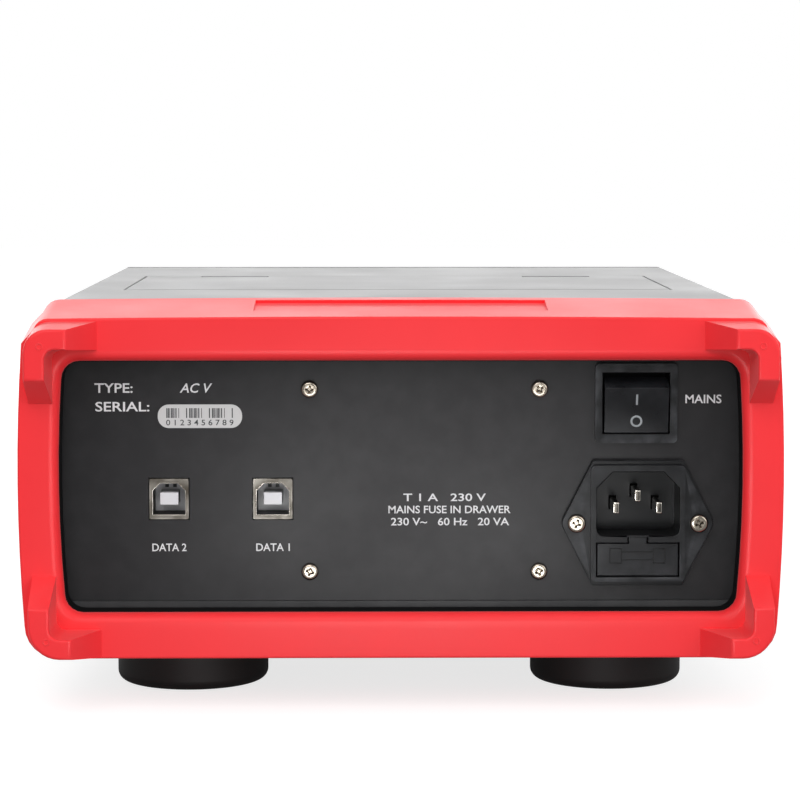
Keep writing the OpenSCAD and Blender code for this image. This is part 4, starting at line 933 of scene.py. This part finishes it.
class METER_OT_ports(Operator):
    """Two square data ports: rolled steel shells, white tongues and painted shade in their openings"""

    bl_idname = "meter.ports"
    bl_label = "Data ports"

    def execute(self, context):
        slots = []
        inserts = frame["nodes"]["port_inserts"]
        for side in ("left", "right"):
            node = f"port_shell_{side}"
            # The shell's rounds take a bright metal, a painted highlight of its rolled lips
            shell = from_frame(node, f"port_can_{side}", 0.14 * MM, angle=30,
                               looks=("drawn_steel", "burnished_edge"))
            dress(shell, "case", "port_steel", replaces=[node])
            low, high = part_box(node)
            z = (low.z + high.z) / 2 + SLOTS_Z
            for x in ((low.x + high.x) / 2 + shift for shift in SLOTS_X):
                hit, point = inserts.ray_cast(Vector((x, high.y + 1 * MM, z)), Vector((0, -1, 0)))[:2]
                if not hit:
                    raise RuntimeError("a port's insert isn't behind its slots")
                slots.append(slab("slot", x - SLOT_HALF_WIDE, x + SLOT_HALF_WIDE, point.y - SLOT_IN,
                                  point.y + SLOT_OUT, z - SLOT_HALF_HIGH, z + SLOT_HALF_HIGH))
        dressed_copy("port_inserts", "port_tongues", "case", "insulator_white", 0.18 * MM, steps=2, angle=40)
        # Black plates in the contact openings: painted shade
        dark = join(slots, "port_slots")
        work(dark, "BEVEL", width=SMALL_ROUND, segments=2, limit_method="ANGLE", use_clamp_overlap=False)
        dress(dark, "case", "plastic_black")
        return {"FINISHED"}


# Feet and front


class METER_OT_feet(Operator):
    """Four round rubber feet and the two tilt legs under the front"""

    bl_idname = "meter.feet"
    bl_label = "Feet and legs"

    def execute(self, context):
        for node in ("foot_rear_left", "foot_rear_right", "foot_front_left", "foot_front_right"):
            dressed_copy(node, f"rubber_{node}", "case", "foot_black", 0.5 * MM, angle=50)
        for side in ("left", "right"):
            node = f"tilt_leg_{side}"
            dressed_copy(node, f"folding_leg_{side}", node, "leg_grey", 0.4 * MM, steps=2, angle=40)
        return {"FINISHED"}


LEGENDS = {
    "key_left": "L", "key_right": "R", "key_auto": "AUTO", "key_hold": "HOLD", "key_volt": "V",
    "key_decibel": "dB", "key_up": "+", "key_down": "-",
}
# The keys' round against that of the other fittings
KEY_EDGE = 1.4
LEGEND_HIGH, LEGEND_DROP, LEGEND_SUNK = 2.6 * MM, 1.2 * MM, 0.02 * MM
# Each read-out: where it starts across the window, as a share of its width, its channel and its digits
READ_OUTS = ((0.06, "CH 1", "0.000"), (0.54, "CH 2", "00.00"))
DIGITS_Z, DIGITS_HIGH, DIGITS_WIDE = 15 * MM, 15 * MM, 46 * MM
UNIT_SHIFT, UNIT_HIGH = 0.34, 6 * MM
CHANNEL_UP, CHANNEL_HIGH = 19 * MM, 3.4 * MM
DIGITS_THICK, DIGITS_SUNK = 0.2 * MM, 0.01 * MM
INPUT_UP, INPUT_HIGH = 3 * MM, 2.8 * MM


class METER_OT_front(Operator):
    """Front frame, panel, keys with their legends, and the two read-outs behind the window"""

    bl_idname = "meter.front"
    bl_label = "Front"

    def execute(self, context):
        shape = context.scene.meter_shape
        dressed_copy("front_bezel", "front_surround", "case", "case_dark", 0.5 * MM, angle=30)
        dressed_copy("front_panel", "front_plate", "case", "panel_dark", 0.2 * MM, steps=2, angle=40)
        for node, text in LEGENDS.items():
            edge = shape.fitting_edge * KEY_EDGE
            dressed_copy(node, f"cap_{node}", node, "key_grey", edge, angle=40)
            low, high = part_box(node)
            foot = Vector(((low.x + high.x) / 2, low.y + LEGEND_SUNK, (low.z + high.z) / 2 - LEGEND_DROP))
            mark = words(text, LEGEND_HIGH, foot, FACING_FRONT)
            mark.name = mark.data.name = f"legend_{node}"
            dress(mark, node, "key_grey", "dark_print", angle=20)
        if shape.lit:
            low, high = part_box("display_window")
            wide = high.x - low.x
            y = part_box("display_module")[0].y + DIGITS_SUNK
            lit = []
            for part, channel, digits in READ_OUTS:
                start = Vector((low.x + wide * part, y, low.z + DIGITS_Z))
                unit = Vector((low.x + wide * (part + UNIT_SHIFT), y, low.z + DIGITS_Z))
                for text, high_up, place, across in (
                    (digits, DIGITS_HIGH, start, DIGITS_WIDE),
                    ("mV", UNIT_HIGH, unit, None),
                    (channel, CHANNEL_HIGH, start + Vector((0, 0, CHANNEL_UP)), None),
                ):
                    lit.append(words(text, high_up, place, FACING_FRONT, width=across, side="LEFT",
                                     depth=DIGITS_THICK))
            dress(join(lit, "read_outs"), "case", "smoked", "lit_digits", angle=20)
        front_words = []
        for side, text in (("left", "INPUT L"), ("right", "INPUT R")):
            low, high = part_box(f"bnc_body_{side}")
            place = Vector(((low.x + high.x) / 2, FACE_Y + LEGEND_SUNK, high.z + INPUT_UP))
            front_words.append(words(text, INPUT_HIGH, place, FACING_FRONT))
        dress(join(front_words, "front_words"), "case", "panel_dark", "screen_print", angle=20)
        return {"FINISHED"}


class METER_OT_sockets(Operator):
    """Shells of the two bayonet input sockets"""

    bl_idname = "meter.sockets"
    bl_label = "Input sockets"

    def execute(self, context):
        for side in ("left", "right"):
            dressed_copy(f"bnc_body_{side}", f"input_shell_{side}", "case", "nickel", 0.2 * MM, steps=2,
                         angle=50)
        return {"FINISHED"}


# Stage

FLOOR_GREY, FLOOR_ROUGH, FLOOR_SPECULAR = 0.38, 0.9, 0.1
FLOOR_WIDE, FLOOR_DROP = 8, 0.2 * MM
# Glow of the floor and of the room: what lights the object, and what the camera sees
FLOOR_GLOW, ROOM_GLOW = (0.1, 0.76), (0.6, 1.0)
# Name, place, what it points at, width, height, watts, and whether it lights matt surfaces
LIGHTS = (
    ("key_light", (0.35, 1.5, 1.15), (0, 0.05, 0.07), 1.0, 1.0, 12.5, True),
    ("fill_light", (-1.1, 1.1, 0.7), (0, 0.05, 0.07), 1.0, 1.0, 7.5, True),
    ("top_light", (0.0, -0.3, 1.6), (0, 0.0, 0.07), 1.4, 1.4, 2.6, True),
    ("back_card", (0.0, -1.3, 0.34), (0, 0.0, 0.13), 2.2, 0.62, 9.0, True),
    ("panel_card", (-0.004, 0.4, 0.03), (-0.004, 0.0, 0.03), 0.17, 0.055, 0.36, False),
)
CAMERA_PLACE, CAMERA_AIM = Vector((0.0099, 1.0489, 0.184)), Vector((0.0003, 0.1425, 0.1014))
CAMERA_LENS, SENSOR = 125.57, 36


def seen_and_lit(tree, glow):
    """A strength with one value for what it lights and one for what the camera sees."""
    seen = put(tree, "ShaderNodeLightPath").outputs["Is Camera Ray"]
    return spread(tree, seen, 0.0, 1.0, *glow)


class METER_OT_stage(Operator):
    """Pale floor, soft lights and the camera"""

    bl_idname = "meter.stage"
    bl_label = "Stage"

    def execute(self, context):
        clear()
        bpy.ops.mesh.primitive_plane_add(size=FLOOR_WIDE, location=(0, 0, -FLOOR_DROP))
        floor = context.object
        floor.name = floor.data.name = "floor"
        paper = bpy.data.materials.new("floor_paper")
        paper.use_nodes = True
        tree = paper.node_tree
        shader = tree.nodes["Principled BSDF"]
        shader.inputs["Base Color"].default_value = (FLOOR_GREY, FLOOR_GREY, FLOOR_GREY, 1)
        shader.inputs["Roughness"].default_value = FLOOR_ROUGH
        shader.inputs["Specular IOR Level"].default_value = FLOOR_SPECULAR
        shader.inputs["Emission Color"].default_value = (1, 1, 1, 1)
        tree.links.new(seen_and_lit(tree, FLOOR_GLOW), shader.inputs["Emission Strength"])
        floor.data.materials.append(paper)
        world = bpy.data.worlds.new("soft_room")
        context.scene.world = world
        world.use_nodes = True
        sky = world.node_tree.nodes["Background"]
        sky.inputs["Color"].default_value = (1, 1, 1, 1)
        world.node_tree.links.new(seen_and_lit(world.node_tree, ROOM_GLOW), sky.inputs["Strength"])
        for name, place, toward, wide, high, power, matt_too in LIGHTS:
            lamp = bpy.data.lights.new(name, "AREA")
            lamp.shape = "RECTANGLE"
            lamp.size = wide
            lamp.size_y = high
            lamp.energy = power
            holder = bpy.data.objects.new(name, lamp)
            context.scene.collection.objects.link(holder)
            holder.location = place
            holder.rotation_euler = (Vector(toward) - Vector(place)).to_track_quat("-Z", "Y").to_euler()
            holder.visible_camera = False
            holder.visible_diffuse = matt_too
        lens = bpy.data.cameras.new("rear_view")
        lens.lens = CAMERA_LENS
        lens.sensor_width = SENSOR
        camera = bpy.data.objects.new("rear_view", lens)
        context.scene.collection.objects.link(camera)
        camera.location = CAMERA_PLACE
        camera.rotation_euler = (CAMERA_AIM - CAMERA_PLACE).to_track_quat("-Z", "Y").to_euler()
        context.scene.camera = camera
        context.scene.view_settings.view_transform = "Standard"
        return {"FINISHED"}


PIECES = (
    METER_OT_carried, METER_OT_rubber_frame, METER_OT_shells, METER_OT_panel_print, METER_OT_screws,
    METER_OT_switch, METER_OT_inlet, METER_OT_ports, METER_OT_feet, METER_OT_front, METER_OT_sockets,
    METER_OT_stage,
)


class METER_PT_panel(Panel):
    """Lists the settings and the pieces"""

    bl_idname = "METER_PT_panel"
    bl_label = "Millivoltmeter"
    bl_space_type = "VIEW_3D"
    bl_region_type = "UI"
    bl_category = "Millivoltmeter"

    def draw(self, context):
        for settings in (context.scene.meter_finish, context.scene.meter_shape):
            for name in settings.__annotations__:
                self.layout.prop(settings, name)
        for piece in PIECES:
            self.layout.operator(piece.bl_idname)


CLASSES = (FinishSettings, ShapeSettings, *PIECES, METER_PT_panel)


def register():
    for kind in CLASSES:
        bpy.utils.register_class(kind)
    bpy.types.Scene.meter_finish = PointerProperty(type=FinishSettings)
    bpy.types.Scene.meter_shape = PointerProperty(type=ShapeSettings)


def unregister():
    del bpy.types.Scene.meter_shape
    del bpy.types.Scene.meter_finish
    for kind in reversed(CLASSES):
        bpy.utils.unregister_class(kind)


def main():
    register()
    clear()
    for piece in PIECES:
        family, name = piece.bl_idname.split(".")
        getattr(getattr(bpy.ops, family), name)()
    clear()


if __name__ == "__main__":
    main()
